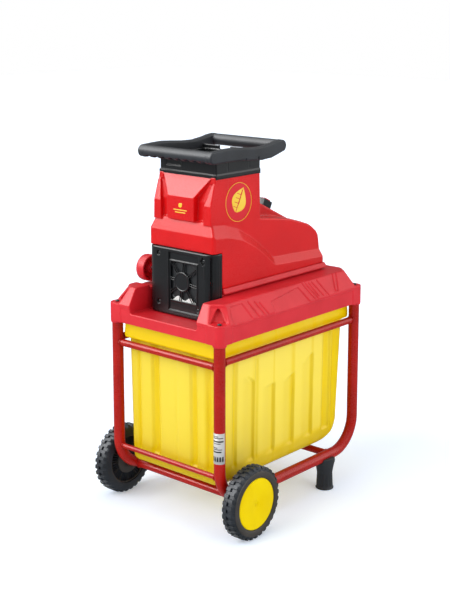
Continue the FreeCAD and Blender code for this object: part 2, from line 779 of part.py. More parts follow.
# ---- hopper ----
def hopper_parts():
    """Black collar, carrying ring and the inner chute with its splash flap."""
    x, front, rear = COLLAR_X, COLLAR_FRONT, COLLAR_REAR
    collar = block(-x, x, front, rear, COLLAR_BOTTOM, COLLAR_TOP)
    collar = collar.cut(block(-x + 3.5, x - 3.5, front + 3.5, rear - 3.5, 850, COLLAR_TOP + 1))
    flange = block(-RING_IN, RING_IN, front - 2, rear + 2, COLLAR_TOP, COLLAR_TOP + 5)
    flange = flange.cut(block(-x + 6, x - 6, front + 6, rear - 6, COLLAR_TOP - 1, COLLAR_TOP + 6))
    parts = {"hopper_collar": collar.fuse(flange).removeSplitter()}

    cheek_outline = [
        (FRONT_GRIP_Y, FRONT_GRIP_Z + GRIP_R),
        (-200, 931),
        (-163, 932.5),
        (-127, 930),
        (-91, 927),
        (-53, 927),
        (-16, 930),
        (REAR_GRIP_Y, REAR_GRIP_Z + GRIP_R),
        (REAR_GRIP_Y, REAR_GRIP_Z - GRIP_R),
        (-34, 896),
        (-64, 895),
        (-102, 897),
        (-175, 899.5),
        (FRONT_GRIP_Y, FRONT_GRIP_Z - GRIP_R),
    ]
    cheek = prism_x(cheek_outline, RING_IN, RING_OUT)
    grips = ((FRONT_GRIP_Y, FRONT_GRIP_Z), (REAR_GRIP_Y, REAR_GRIP_Z))
    for y, z in grips:
        cheek = cheek.fuse(rod(GRIP_R, (RING_IN, y, z), (RING_OUT, y, z)))
    bars = [rod(GRIP_R, (-RING_IN - 2, y, z), (RING_IN + 2, y, z)) for y, z in grips]
    ring = fuse_all([cheek, mirror_x(cheek)] + bars)
    for side in (-1, 1):
        for y in (-116.0, -69.0):
            notch = block(side * RING_OUT - 6, side * RING_OUT + 6, y - 2.5, y + 2.5, 885, 907)
            ring = ring.cut(notch)
    parts["handle_ring"] = ring

    mouths = (
        (COLLAR_TOP - 1, -x + 4.5, x - 4.5, front + 4.5, rear - 4.5),
        (COLLAR_BOTTOM, -x + 5, x - 5, front + 6, rear - 5),
        (738.0, -84.0, 74.0, -205.0, -108.0),
        (CHAMBER_TOP, CHAMBER_LEFT + 2, CHAMBER_RIGHT - 2, CHAMBER_FRONT + 2, CHAMBER_BACK - 2),
    )

    def funnel(t):
        return loft([rectangle(a + t, b - t, c + t, d - t, z) for z, a, b, c, d in mouths])

    parts["hopper_chute"] = funnel(0.0).cut(funnel(2.5))
    strips = []
    for k in range(6):
        left = -73 + 24.0 * k
        strips.append(block(left, left + 22, FLAP_Y - 1.2, FLAP_Y + 1.2, 745, 846))
    header = block(-x, x, FLAP_Y - 4, FLAP_Y + 4, 845, 853).common(funnel(2.5))
    parts["splash_flap"] = fuse_all([header] + strips)
    return parts


# ---- cutting unit ----
def cutter_parts():
    """Chamber, drum with its gear, pressure plate with its screw and knob, bearings."""
    cx, cz = DRUM_AXIS
    chamber = block(CHAMBER_LEFT, CHAMBER_RIGHT, CHAMBER_FRONT, CHAMBER_BACK, LEDGE_Z + 1, CHAMBER_TOP)
    hollow = block(
        CHAMBER_LEFT + 8, CHAMBER_RIGHT - PLATE, CHAMBER_FRONT + PLATE, CHAMBER_BACK - PLATE, 500, 700
    )
    chamber = chamber.cut(hollow)
    chamber = chamber.cut(rod(21.0, (cx, CHAMBER_FRONT - 1, cz), (cx, CHAMBER_BACK + 1, cz)))
    chamber = chamber.cut(
        rod(6.6, (CHAMBER_LEFT - 1, KNOB_Y, KNOB_Z), (CHAMBER_LEFT + 10, KNOB_Y, KNOB_Z))
    )

    body = gear(DRUM_TEETH, DRUM_MODULE, 11.0, DRUM_AXIS, DRUM_FRONT, DRUM_LENGTH)
    shaft = rod(SHAFT_R, (cx, CHAMBER_FRONT, cz), (cx, STAGES[0]["front"] + 18.0, cz))
    drum = body.fuse(shaft).removeSplitter()

    tip = DRUM_MODULE * DRUM_TEETH / 2.0 + 0.8 * DRUM_MODULE
    face = cx - tip - ANVIL_GAP
    back = CHAMBER_LEFT + 12.0
    outline = [
        (back, 566),
        (face - 8, 566),
        (face, 580),
        (face, 628),
        (face - 12, 646),
        (back, 652),
    ]
    plate = prism_y(outline, DRUM_FRONT, DRUM_FRONT + DRUM_LENGTH)
    plate = plate.cut(
        rod(AXLE_R + RUNNING_FIT, (back - 1, KNOB_Y, KNOB_Z), (face - 9, KNOB_Y, KNOB_Z))
    )
    screw = rod(AXLE_R, (KNOB_OUT + 6, KNOB_Y, KNOB_Z), (face - 12, KNOB_Y, KNOB_Z))
    skirt = pipe(KNOB_R, KNOB_R - 5, (KNOB_OUT, KNOB_Y, KNOB_Z), (KNOB_IN, KNOB_Y, KNOB_Z))
    web = rod(KNOB_R - 2, (KNOB_OUT + 1.5, KNOB_Y, KNOB_Z), (KNOB_OUT + 6, KNOB_Y, KNOB_Z))
    hub = rod(12.0, (KNOB_OUT + 3, KNOB_Y, KNOB_Z), (KNOB_IN, KNOB_Y, KNOB_Z))
    knob = fuse_all([skirt, web, hub]).cut(screw)

    bearings = []
    places = (
        (DRUM_AXIS, CHAMBER_FRONT, PLATE, SHAFT_R, 20.9),
        (DRUM_AXIS, CHAMBER_BACK - PLATE, PLATE, SHAFT_R, 20.9),
        (SECOND_AXIS, CASE_FRONT, CASE_WALL, 7.0, 13.0),
        (SECOND_AXIS, CASE_BACK - CASE_WALL, CASE_WALL, 7.0, 13.0),
        (FIRST_AXIS, CASE_FRONT, CASE_WALL, 5.0, 11.0),
        (FIRST_AXIS, CASE_BACK - CASE_WALL, CASE_WALL, 5.0, 11.0),
        (MOTOR_AXIS, CASE_BACK - CASE_WALL, CASE_WALL, 4.0, 9.0),
        (MOTOR_AXIS, MOTOR_FRONT, PLATE, 8.0, 17.9),
        (MOTOR_AXIS, MOTOR_BACK - PLATE, PLATE, 8.0, 17.9),
    )
    for (bx, bz), y, width, inner, outer in places:
        bearings.append(pipe(outer, inner + RUNNING_FIT, (bx, y, bz), (bx, y + width, bz)))
    return {
        "cutter_housing": chamber,
        "cutter_drum": drum,
        "anvil_plate": plate,
        "anvil_screw": screw,
        "anvil_knob": knob,
        "shaft_bearings": Part.makeCompound(bearings),
    }


# ---- gear train and motor ----
def gear_parts():
    """Gear case and the three reduction stages between motor and drum."""
    third, second, first = STAGES
    case = block(-89, 64, CASE_FRONT, CASE_BACK, 549, 716)
    case = case.cut(block(-85, 60, CASE_FRONT + CASE_WALL, CASE_BACK - CASE_WALL, 553, 712))
    shaft_hole = rod(SHAFT_R + 4, (DRUM_X, CASE_FRONT - 1, DRUM_Z), (DRUM_X, CASE_FRONT + 5, DRUM_Z))
    case = case.cut(shaft_hole)
    for (x, z), radius, ends in (
        (SECOND_AXIS, 13.05, (CASE_FRONT, CASE_BACK - CASE_WALL)),
        (FIRST_AXIS, 11.05, (CASE_FRONT, CASE_BACK - CASE_WALL)),
        (MOTOR_AXIS, 9.05, (CASE_BACK - CASE_WALL,)),
    ):
        for y in ends:
            case = case.cut(rod(radius, (x, y, z), (x, y + CASE_WALL, z)))

    def wheel(stage, phase, centre, shaft_r):
        disc = gear(stage["gear"], stage["module"], phase, centre, stage["front"], stage["width"])
        x, z = centre
        front = stage["front"]
        return disc.cut(rod(shaft_r, (x, front - 1, z), (x, front + stage["width"] + 1, z)))

    def pinion(stage, centre, gear_phase, gear_axis):
        phase = meshed_phase(stage, gear_phase, direction_of(gear_axis, centre))
        return gear(stage["pinion"], stage["module"], phase, centre, stage["front"], stage["width"])

    def shaft(centre, radius, y0, y1, teeth):
        x, z = centre
        return teeth.fuse(rod(radius, (x, y0, z), (x, y1, z))).removeSplitter()

    ends = (CASE_FRONT + 0.5, CASE_BACK - 0.5)
    parts = {
        "gear_case": case,
        "drum_gear": wheel(third, 0.0, DRUM_AXIS, SHAFT_R),
        "second_gear": wheel(second, 0.0, SECOND_AXIS, 7.0),
        "first_gear": wheel(first, 0.0, FIRST_AXIS, 5.0),
        "second_shaft": shaft(
            SECOND_AXIS, 7.0, ends[0], ends[1], pinion(third, SECOND_AXIS, 0.0, DRUM_AXIS)
        ),
        "first_shaft": shaft(
            FIRST_AXIS, 5.0, ends[0], ends[1], pinion(second, FIRST_AXIS, 0.0, SECOND_AXIS)
        ),
    }
    x, z = MOTOR_AXIS
    teeth = pinion(first, MOTOR_AXIS, 0.0, FIRST_AXIS)
    nose = rod(4.0, (x, first["front"], z), (x, MOTOR_FRONT - 1, z))
    core = rod(37.5, (x, 5, z), (x, 95, z))
    shaft_bar = rod(8.0, (x, MOTOR_FRONT - 1, z), (x, MOTOR_BACK + 18, z))
    parts["motor_rotor"] = fuse_all([teeth, nose, shaft_bar, core])
    blade = block(x + 10, x + 50, MOTOR_BACK + 6, MOTOR_BACK + 16, z - 1.2, z + 1.2)
    hub = rod(14.0, (x, MOTOR_BACK + 3, z), (x, MOTOR_BACK + 16, z))
    disc = rod(50.0, (x, MOTOR_BACK + 3, z), (x, MOTOR_BACK + 6, z))
    fan = fuse_all([hub, disc] + ring_of(blade, (x, 0, z), Y_AXIS, 9))
    parts["cooling_fan"] = fan.cut(rod(8.0, (x, MOTOR_BACK, z), (x, MOTOR_BACK + 20, z)))
    return parts


def motor_parts():
    """Motor case, stator, saddle and run capacitor."""
    x, z = MOTOR_AXIS
    case = pipe(MOTOR_R, MOTOR_R - 3, (x, MOTOR_FRONT, z), (x, MOTOR_BACK, z))
    for y in (MOTOR_FRONT, MOTOR_BACK - PLATE):
        case = case.fuse(pipe(MOTOR_R - 1, 18.0, (x, y, z), (x, y + PLATE, z)))
    stator = pipe(MOTOR_R - 3.0, 38.2, (x, 8, z), (x, 92, z))
    saddle = block(x - 48, x + 48, -10, 90, PLATEAU_Z, z - 30)
    saddle = saddle.cut(rod(MOTOR_R, (x, -20, z), (x, 120, z)))
    saddle = saddle.cut(block(x - 38, x + 38, -20, 100, PLATEAU_Z - 1, PLATEAU_Z + 6))
    capacitor = rod(19.0, (-86, 165, 612), (-16, 165, 612))
    return {
        "motor_case": case.removeSplitter(),
        "motor_stator": stator,
        "motor_saddle": saddle,
        "run_capacitor": capacitor,
    }


# ---- switches and inlet ----
SWITCH_AT = Vector(0, 84, 742.8)
SWITCH_TILT = -25.8


def switch_place():
    """Placement of the switch block: its own Z stands square to the sloping ridge."""
    return FreeCAD.Placement(SWITCH_AT, FreeCAD.Rotation(X_AXIS, SWITCH_TILT))


def control_parts():
    """Switch block with on, off and reset buttons, and the mains inlet at the rear."""
    place = switch_place()
    housing = block(-19, 19, -17, 17, 0, 23).fuse(block(-14.5, 14.5, -12.5, 12.5, -10, 0))
    spots = {
        "on_button": (-15, -2, -11, 12),
        "off_button": (2, 15, -11, 12),
    }
    parts = {}
    for name, (x0, x1, y0, y1) in spots.items():
        housing = housing.cut(block(x0 - 0.4, x1 + 0.4, y0 - 0.4, y1 + 0.4, 15, 27))
        button = block(x0, x1, y0, y1, 18.5, 26.5)
        button.Placement = place
        parts[name] = button
    housing.Placement = place
    parts["switch_box"] = housing.removeSplitter()
    inlet = block(-26, 26, BODY_REAR, BODY_REAR + 3, 606, 650)
    inlet = inlet.fuse(block(-20, 20, BODY_REAR - 26, BODY_REAR, 613, 643))
    inlet = inlet.cut(rod(12.0, (0, BODY_REAR - 22, 628), (0, BODY_REAR + 4, 628)))
    for px, pz in ((-6, 628), (6, 628), (0, 634)):
        pin = rod(2.0, (px, BODY_REAR - 23, pz), (px, BODY_REAR - 4, pz))
        inlet = inlet.fuse(pin)
    parts["power_inlet"] = inlet
    parts["reset_button"] = rod(RESET_R, (RESET_X, 194, RESET_Z), (RESET_X, 214, RESET_Z))
    return parts


def main():
    """Build every part and write one file for each."""
    os.makedirs("parts", exist_ok=True)
    parts = {}
    for made in (
        frame_parts(),
        wheel_parts(1),
        wheel_parts(-1),
        hood_parts(),
        collection_box(),
        latch_parts(),
        housing_parts(),
        cover_parts(),
        hopper_parts(),
        cutter_parts(),
        gear_parts(),
        motor_parts(),
        control_parts(),
    ):
        parts.update(made)
    for name, shape in parts.items():
        shape = shape.copy()
        shape.translate(Vector(0, ORIGIN_SHIFT, 0))
        shape.exportStep("parts/" + name + ".step")


main()
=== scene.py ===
import json
import math

import bmesh
import bpy
import numpy as np
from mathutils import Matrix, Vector


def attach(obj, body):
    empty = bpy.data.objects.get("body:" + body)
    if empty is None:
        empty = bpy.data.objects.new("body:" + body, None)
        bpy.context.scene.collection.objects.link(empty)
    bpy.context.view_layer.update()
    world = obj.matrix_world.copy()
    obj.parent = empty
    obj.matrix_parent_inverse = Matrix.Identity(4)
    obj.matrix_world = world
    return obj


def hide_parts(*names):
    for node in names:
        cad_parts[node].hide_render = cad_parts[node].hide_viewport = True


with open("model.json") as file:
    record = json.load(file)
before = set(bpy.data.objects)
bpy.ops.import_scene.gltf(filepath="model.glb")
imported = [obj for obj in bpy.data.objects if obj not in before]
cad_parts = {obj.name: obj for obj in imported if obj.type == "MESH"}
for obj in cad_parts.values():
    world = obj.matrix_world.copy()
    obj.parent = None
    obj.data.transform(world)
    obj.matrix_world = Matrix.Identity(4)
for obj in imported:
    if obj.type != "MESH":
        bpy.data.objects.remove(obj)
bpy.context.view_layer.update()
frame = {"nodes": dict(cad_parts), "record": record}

MM = 0.001
SHIFT = 2.25  # mm along y from the frame's origin to the middle of the posts
NODES = frame["nodes"]
SLOT_OF = {part["node"]: part["material_slot"] for part in frame["record"]["subparts"]}
COARSE = 1.0

# ---- sizes in millimetres, drawn about the middle of the four posts ----
POST_X, POST_Y = 171.5, 269.5
POSTS = [(sx * POST_X, sy * POST_Y) for sx in (-1, 1) for sy in (-1, 1)]
HOOD_X, HOOD_Y = 188.5, 286.5
HOOD_EDGE, HOOD_TOP, LIP_TOP = 532.0, 574.0, 592.0
SLOPE_RUN, SLOPE_RISE, END_RUN = 28.5, 42.0, 23.5
WHEEL_R, AXLE_Y, WHEEL_IN, CAP_R = 90.0, -210.0, 198.0, 64.0
BODY_X, TOWER_TOP = 107.3, 862.0
TOWER_HALF = ((750, 793, TOWER_TOP), (94.5, 93.9, 92.5))
KNOB_Y, KNOB_Z = -176.0, 606.0
DRUM_X, BOSS_Z = 8.0, 600.5
COVER_FRONT = -225.0
BIN_X, BIN_FRONT = 152.5, -254.0
RIM_X, RIM_FRONT, RIM_REAR = 154.0, -264.0, 267.0
SWITCH_Y, SWITCH_Z, SWITCH_TILT = 84.0, 742.8, -25.8
FRONT_GRIP, REAR_GRIP, RING_X = (-228.0, 914.0), (25.0, 921.0), 121.0
REAR_NOTCH = (-40.0, -4.0)
COVER_HOLES = ((-69, 664), (-69, 541), (78, 661.5), (59, 538))
SWOOSH_LOW = [(-217.7, 719), (-157, 713), (-109, 700), (-60, 675), (-20, 647), (16, 618), (214, 609)]
SWOOSH_HIGH = [(-212.5, 749), (-169, 744), (-114, 728), (-69, 703), (-21, 670), (20, 636), (212, 627)]


# ---- solids as signed distance fields ----
class Field:
    """Signed distances in mm on a grid, negative inside the solid."""

    def __init__(self, low, high, step):
        self.step = step * COARSE
        pad = 2 * self.step
        self.axes = [
            np.arange(a - pad, b + pad + self.step, self.step, dtype=np.float32)
            for a, b in zip(low, high)
        ]
        self.d = np.full([len(a) for a in self.axes], 1e3, np.float32)
        self.spread()

    def spread(self):
        """Coordinates as three arrays that broadcast over the grid."""
        a, b, c = self.axes
        self.x = a[:, None, None]
        self.y = b[None, :, None]
        self.z = c[None, None, :]

    def near(self, low, high):
        """The same field seen only between two corners, for small features."""
        view = Field.__new__(Field)
        spans = [slice(*np.searchsorted(a, (p, q))) for a, p, q in zip(self.axes, low, high)]
        view.step = self.step
        view.axes = [a[s] for a, s in zip(self.axes, spans)]
        view.d = self.d[tuple(spans)]
        view.spread()
        return view

    def add(self, d, k=0.0):
        """Join a solid, blended over k mm."""
        self.d[...] = soft_min(self.d, d, k)

    def cut(self, d, k=0.0):
        """Take a solid away."""
        self.d[...] = -soft_min(-self.d, d, k)

    def keep(self, d, k=0.0):
        """Keep only what lies inside a solid."""
        self.d[...] = soft_max(self.d, d, k)

    def hollow(self, wall):
        """Leave only an outer wall of this thickness."""
        np.maximum(self.d, -(self.d + wall), out=self.d)


def soft_min(a, b, k):
    """Smaller of two distances, blended over k mm."""
    if k <= 0:
        return np.minimum(a, b)
    h = np.maximum(k - np.abs(a - b), 0.0) / k
    return np.minimum(a, b) - h * h * k * 0.25


def soft_max(a, b, k):
    """Larger of two distances, blended over k mm."""
    return -soft_min(-a, -b, k)


def span(h, lo, hi, r=0.0):
    """Distance outside the stretch from lo to hi, drawn in by r."""
    return np.abs(h - (lo + hi) / 2) - (hi - lo) / 2 + r


def rounded(walls, r):
    """Overlap of walls drawn in by r, with the edges between them rounded by r."""
    outside = np.sqrt(sum(np.maximum(wall, 0) ** 2 for wall in walls))
    deepest = walls[0]
    for wall in walls[1:]:
        deepest = np.maximum(deepest, wall)
    return outside + np.minimum(deepest, 0) - r


def block(f, x0, x1, y0, y1, z0, z1, r=0.0):
    """Box with rounded edges."""
    return rounded([span(f.x, x0, x1, r), span(f.y, y0, y1, r), span(f.z, z0, z1, r)], r)


def pocket(f, low, high, solid, r=0.0, k=0.0):
    """Cut a box with rounded edges, working only between two corners."""
    part = f.near(low, high)
    part.cut(block(part, *solid, r), k)


def rod(f, axis, centre, radius, lo, hi, r=0.0):
    """Cylinder along one axis; centre gives the other two coordinates in order."""
    along = {"x": f.x, "y": f.y, "z": f.z}
    h = along.pop(axis)
    u, v = along.values()
    side = np.sqrt((u - centre[0]) ** 2 + (v - centre[1]) ** 2) - radius + r
    return rounded([side, span(h, lo, hi, r)], r)


def bar(f, p, q, r, mirrored=False):
    """Straight bar of radius r with round ends; mirrored draws it on both sides."""
    a, b = np.array(p, np.float32), np.array(q, np.float32)
    e = b - a
    w = (np.abs(f.x) if mirrored else f.x, f.y, f.z)
    w = [c - s for c, s in zip(w, a)]
    t = np.clip(sum(c * s for c, s in zip(w, e)) / np.dot(e, e), 0, 1)
    return np.sqrt(sum((c - s * t) ** 2 for c, s in zip(w, e))) - r


def plane(f, point, normal, mirrored=False):
    """Distance above a plane."""
    n = np.array(normal, float)
    n /= np.linalg.norm(n)
    x = np.abs(f.x) if mirrored else f.x
    return (x - point[0]) * n[0] + (f.y - point[1]) * n[1] + (f.z - point[2]) * n[2]


def outline(points, u, v):
    """Signed distance to a closed outline in the (u, v) plane."""
    best, inside = None, False
    for (ax, ay), (bx, by) in zip(points, points[1:] + points[:1]):
        ex, ey = bx - ax, by - ay
        wx, wy = u - ax, v - ay
        t = np.clip((wx * ex + wy * ey) / (ex * ex + ey * ey), 0, 1)
        d = (wx - ex * t) ** 2 + (wy - ey * t) ** 2
        best = d if best is None else np.minimum(best, d)
        if ay != by:
            inside = inside ^ (((ay > v) != (by > v)) & (u < (bx - ax) * (v - ay) / (by - ay) + ax))
    return (np.sqrt(best) * np.where(inside, -1, 1)).astype(np.float32)


def slab(flat, h, lo, hi, r=0.0):
    """An outline's distance field carried from lo to hi along h."""
    return rounded([flat + r, span(h, lo, hi, r)], r)


CORNERS = np.array([(i, j, k) for i in (0, 1) for j in (0, 1) for k in (0, 1)])
EDGES = [(a, b) for a in range(8) for b in range(a + 1, 8) if np.abs(CORNERS[a] - CORNERS[b]).sum() == 1]


def sample(d, p):
    """Trilinear values of a grid at points given in cells."""
    base = np.clip(np.floor(p).astype(int), 0, np.array(d.shape) - 2)
    t = p - base
    total = 0.0
    for c in CORNERS:
        weight = np.prod(np.where(c, t, 1 - t), axis=1)
        i, j, k = (base + c).T
        total = total + weight * d[i, j, k]
    return total


def skin(f):
    """Closed quad surface where the field is zero."""
    d = f.d
    inside = d < 0
    nx, ny, nz = d.shape
    count = np.zeros((nx - 1, ny - 1, nz - 1), np.int8)
    for i, j, k in CORNERS:
        count += inside[i : nx - 1 + i, j : ny - 1 + j, k : nz - 1 + k]
    live = (count > 0) & (count < 8)
    cells = np.argwhere(live)
    number = np.full(live.shape, -1, np.int32)
    number[live] = np.arange(len(cells))
    values = np.stack([d[tuple((cells + c).T)] for c in CORNERS], 1)
    total = np.zeros((len(cells), 3))
    hits = np.zeros(len(cells))
    for a, b in EDGES:
        va, vb = values[:, a], values[:, b]
        cross = (va < 0) != (vb < 0)
        t = np.where(cross, va / np.where(cross, va - vb, 1.0), 0.0)
        point = CORNERS[a] + t[:, None] * (CORNERS[b] - CORNERS[a])
        total += np.where(cross[:, None], point, 0.0)
        hits += cross
    place = cells + total / hits[:, None]
    for _ in range(2):
        value = sample(d, place)
        slope = np.stack([sample(d, place + 0.5 * e) - sample(d, place - 0.5 * e) for e in np.eye(3)], 1)
        step = value[:, None] * slope / np.maximum((slope**2).sum(1), 1e-3)[:, None]
        place = place - np.clip(step, -0.45, 0.45)
    quads = []
    for axis in range(3):
        u, v = (axis + 1) % 3, (axis + 2) % 3
        lower = [slice(None)] * 3
        upper = [slice(None)] * 3
        lower[axis], upper[axis] = slice(None, -1), slice(1, None)
        first = inside[tuple(lower)]
        found = np.argwhere(first != inside[tuple(upper)])
        found = found[(found[:, u] > 0) & (found[:, v] > 0)]
        found = found[(found[:, u] < d.shape[u] - 1) & (found[:, v] < d.shape[v] - 1)]
        eu, ev = np.eye(3, dtype=int)[u], np.eye(3, dtype=int)[v]
        quad = np.stack([number[tuple((found - o).T)] for o in (0 * eu, eu, eu + ev, ev)], 1)
        facing = first[tuple(found.T)]
        quads.append(np.where(facing[:, None], quad, quad[:, ::-1]))
    origin = np.array([a[0] for a in f.axes])
    return place * f.step + origin, np.concatenate(quads)


# ---- making pieces ----
def piece(name, points, faces, body, slot, smooth=True):
    """A mesh in the row frame that rides on a body; the ring and feet black is a matte kind of
    black_plastic, its lighter tone a painted sheen.
    """
    points = np.array(points, float)
    points[:, 1] += SHIFT
    mesh = bpy.data.meshes.new(name)
    mesh.from_pydata((points * MM).tolist(), [], [list(map(int, f)) for f in faces])
    mesh.update()
    mesh.validate()
    mesh.polygons.foreach_set("use_smooth", [smooth] * len(mesh.polygons))
    made = bpy.data.objects.new(name, mesh)
    bpy.context.scene.collection.objects.link(made)
    mesh.materials.append(MATERIALS[slot])
    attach(made, body)
    return made


def thinned(made, share):
    """Keep only a share of a piece's faces, dropping those in flat parts first."""
    made.modifiers.new("thin", "DECIMATE").ratio = share
    return made


def creased(made, degrees):
    """Sharp shading along edges steeper than an angle."""
    made.modifiers.new("edge", "EDGE_SPLIT").split_angle = math.radians(degrees)
    return made


def moulded(name, f, body, slot, share):
    """A piece from a distance field, thinned out where it is flat."""
    made = thinned(piece(name, *skin(f), body, slot), share)
    made.modifiers.new("even", "WEIGHTED_NORMAL").weight = 80
    return made


def woven(rows, columns, wrap=True):
    """Quads over rows of points, closed round each row and, with wrap, from last row to first."""
    faces = []
    for i in range(rows if wrap else rows - 1):
        a, b = i * columns, (i + 1) % rows * columns
        for j in range(columns):
            k = (j + 1) % columns
            faces.append((a + j, a + k, b + k, b + j))
    return faces


def lathe(profile, centre, steps):
    """Closed profile of (x, radius) pairs turned round an axis along x; centre is (y, z)."""
    points = []
    for i in range(steps):
        a = 2 * math.pi * i / steps
        points += [(x, centre[0] + r * math.cos(a), centre[1] + r * math.sin(a)) for x, r in profile]
    return points, woven(steps, len(profile))


def joined(parts):
    """Several (points, faces) lists as one."""
    points, faces = [], []
    for p, q in parts:
        base = len(points)
        points += [tuple(v) for v in p]
        faces += [[i + base for i in face] for face in q]
    return points, faces


def outward(made):
    """Turn every face of a piece outwards."""
    work = bmesh.new()
    work.from_mesh(made.data)
    bmesh.ops.recalc_face_normals(work, faces=work.faces)
    work.to_mesh(made.data)
    work.free()
    return made


# ---- materials ----
def linear(hex_colour):
    """Linear colour from six hex digits."""
    out = []
    for i in (0, 2, 4):
        c = int(hex_colour[i : i + 2], 16) / 255
        out.append(c / 12.92 if c <= 0.04045 else ((c + 0.055) / 1.055) ** 2.4)
    return (*out, 1.0)


def feed(tree, socket, value):
    """Give an input a value, or link it from another node's output."""
    if isinstance(value, bpy.types.NodeSocket):
        tree.links.new(value, socket)
    else:
        socket.default_value = value


def add_node(tree, kind, **inputs):
    """New shader node with some of its inputs set or linked."""
    node = tree.nodes.new("ShaderNode" + kind)
    for name, value in inputs.items():
        feed(tree, node.inputs[name.replace("_", " ")], value)
    return node


def finish(name, light, dark, rough, grain, bump, patch=14.0, stretch=(1, 1, 1), **fixed):
    """Two close tones mixed by broad noise, with fine noise in the roughness and the surface."""
    made = bpy.data.materials.new(name)
    made.use_nodes = True
    tree = made.node_tree
    shader = tree.nodes["Principled BSDF"]
    place = add_node(tree, "TexCoord").outputs["Object"]
    turn = add_node(tree, "Mapping", Scale=stretch, Vector=place).outputs["Vector"]
    broad = add_node(tree, "TexNoise", Scale=patch, Detail=5.0, Vector=turn).outputs["Fac"]
    fine = add_node(tree, "TexNoise", Scale=grain, Detail=3.0, Vector=turn).outputs["Fac"]
    tones = add_node(tree, "ValToRGB", Fac=broad)
    for mark, position, tone in zip(tones.color_ramp.elements, (0.35, 0.65), (dark, light)):
        mark.position = position
        mark.color = linear(tone)
    spread = add_node(tree, "MapRange", To_Min=max(rough - 0.06, 0.02), To_Max=rough + 0.06, Value=fine)
    relief = add_node(tree, "Bump", Strength=bump, Distance=0.0004, Height=fine)
    tree.links.new(tones.outputs["Color"], shader.inputs["Base Color"])
    tree.links.new(spread.outputs["Result"], shader.inputs["Roughness"])
    tree.links.new(relief.outputs["Normal"], shader.inputs["Normal"])
    for socket, value in fixed.items():
        shader.inputs[socket.replace("_", " ")].default_value = value
    return made


def ramp(tree, source, low, high, stops):
    """A grey ramp along a coordinate, from low to high in mm; stops are (mm, value) pairs."""
    along = add_node(tree, "MapRange", From_Min=low * MM, From_Max=high * MM, Value=source)
    node = add_node(tree, "ValToRGB", Fac=along.outputs["Result"])
    marks = node.color_ramp.elements
    while len(marks) < len(stops):
        marks.new(0.5)
    for mark, (at, value) in zip(marks, stops):
        mark.position = (at - low) / (high - low)
        mark.color = (value, value, value, 1.0)
    return node.outputs["Color"]


def mixed(tree, kind, a, b, fac=1.0):
    """Two colours joined by a mix node."""
    node = tree.nodes.new("ShaderNodeMix")
    node.data_type = "RGBA"
    node.blend_type = kind
    factor, first, second = node.inputs[0], node.inputs[6], node.inputs[7]
    for socket, value in ((factor, fac), (first, a), (second, b)):
        feed(tree, socket, value)
    return node.outputs[2]


# How deep the box's yellow is: (mm, 0 light to 1 deep) across the ends, along the sides and up the walls;
# the deep colour is partly the plastic's own where it is folded and thicker, partly painted shade in the
# flutes, at the pad edges, round the rim and near the floor.
DEEP_ACROSS = (
    (-149, 0.8), (-139, 0.3), (-126, 0.3), (-118, 0.75), (-111, 0.7), (-103, 0.1), (-76, 0.1), (-66, 0.75),
    (-60, 1.0), (-50, 1.0), (-43, 0.4), (-36, 0.0), (44, 0.0), (60, 0.1), (67, 0.75), (72, 1.0), (79, 0.85),
    (85, 0.2), (103, 0.1), (112, 0.6), (124, 0.9), (134, 0.5), (149, 0.9),
)
DEEP_ALONG = (
    (-252, 0.8), (-214, 0.1), (-200, 0.25), (-190, 0.85), (-181, 0.05), (-128, 0.05), (-116, 0.4),
    (-100, 0.2), (-90, 0.0), (-43, 0.05), (-40, 0.7), (-34, 0.0), (26, 0.05), (37, 0.65), (44, 0.5),
    (48, 0.0), (110, 0.0), (119, 0.7), (126, 0.05), (156, 0.05), (166, 0.9), (186, 1.0), (192, 0.6),
    (201, 0.7), (207, 1.0), (228, 1.0), (251, 0.7),
)
DEEP_UP = (
    (118, 0.9), (148, 1.0), (156, 0.9), (168, 0.35), (230, 0.2), (300, 0.12), (400, 0.0), (439, 0.0),
    (441, 0.9), (495, 1.0),
)
# Painted shade and painted light going up: how much of its colour the wall keeps (painted shade, darker
# towards the floor) and how much light it gives out (a painted glow in the rim); the painted shade and tint
# of both ends.
SHADE_UP = ((118, 0.72), (146, 0.82), (158, 0.93), (200, 0.96), (300, 1.0))
GLOW_UP = ((118, 0.0), (438, 0.0), (441, 0.2), (495, 0.14))
PAINTED_END_SHADE = (0.84, 0.84, 0.56, 1)


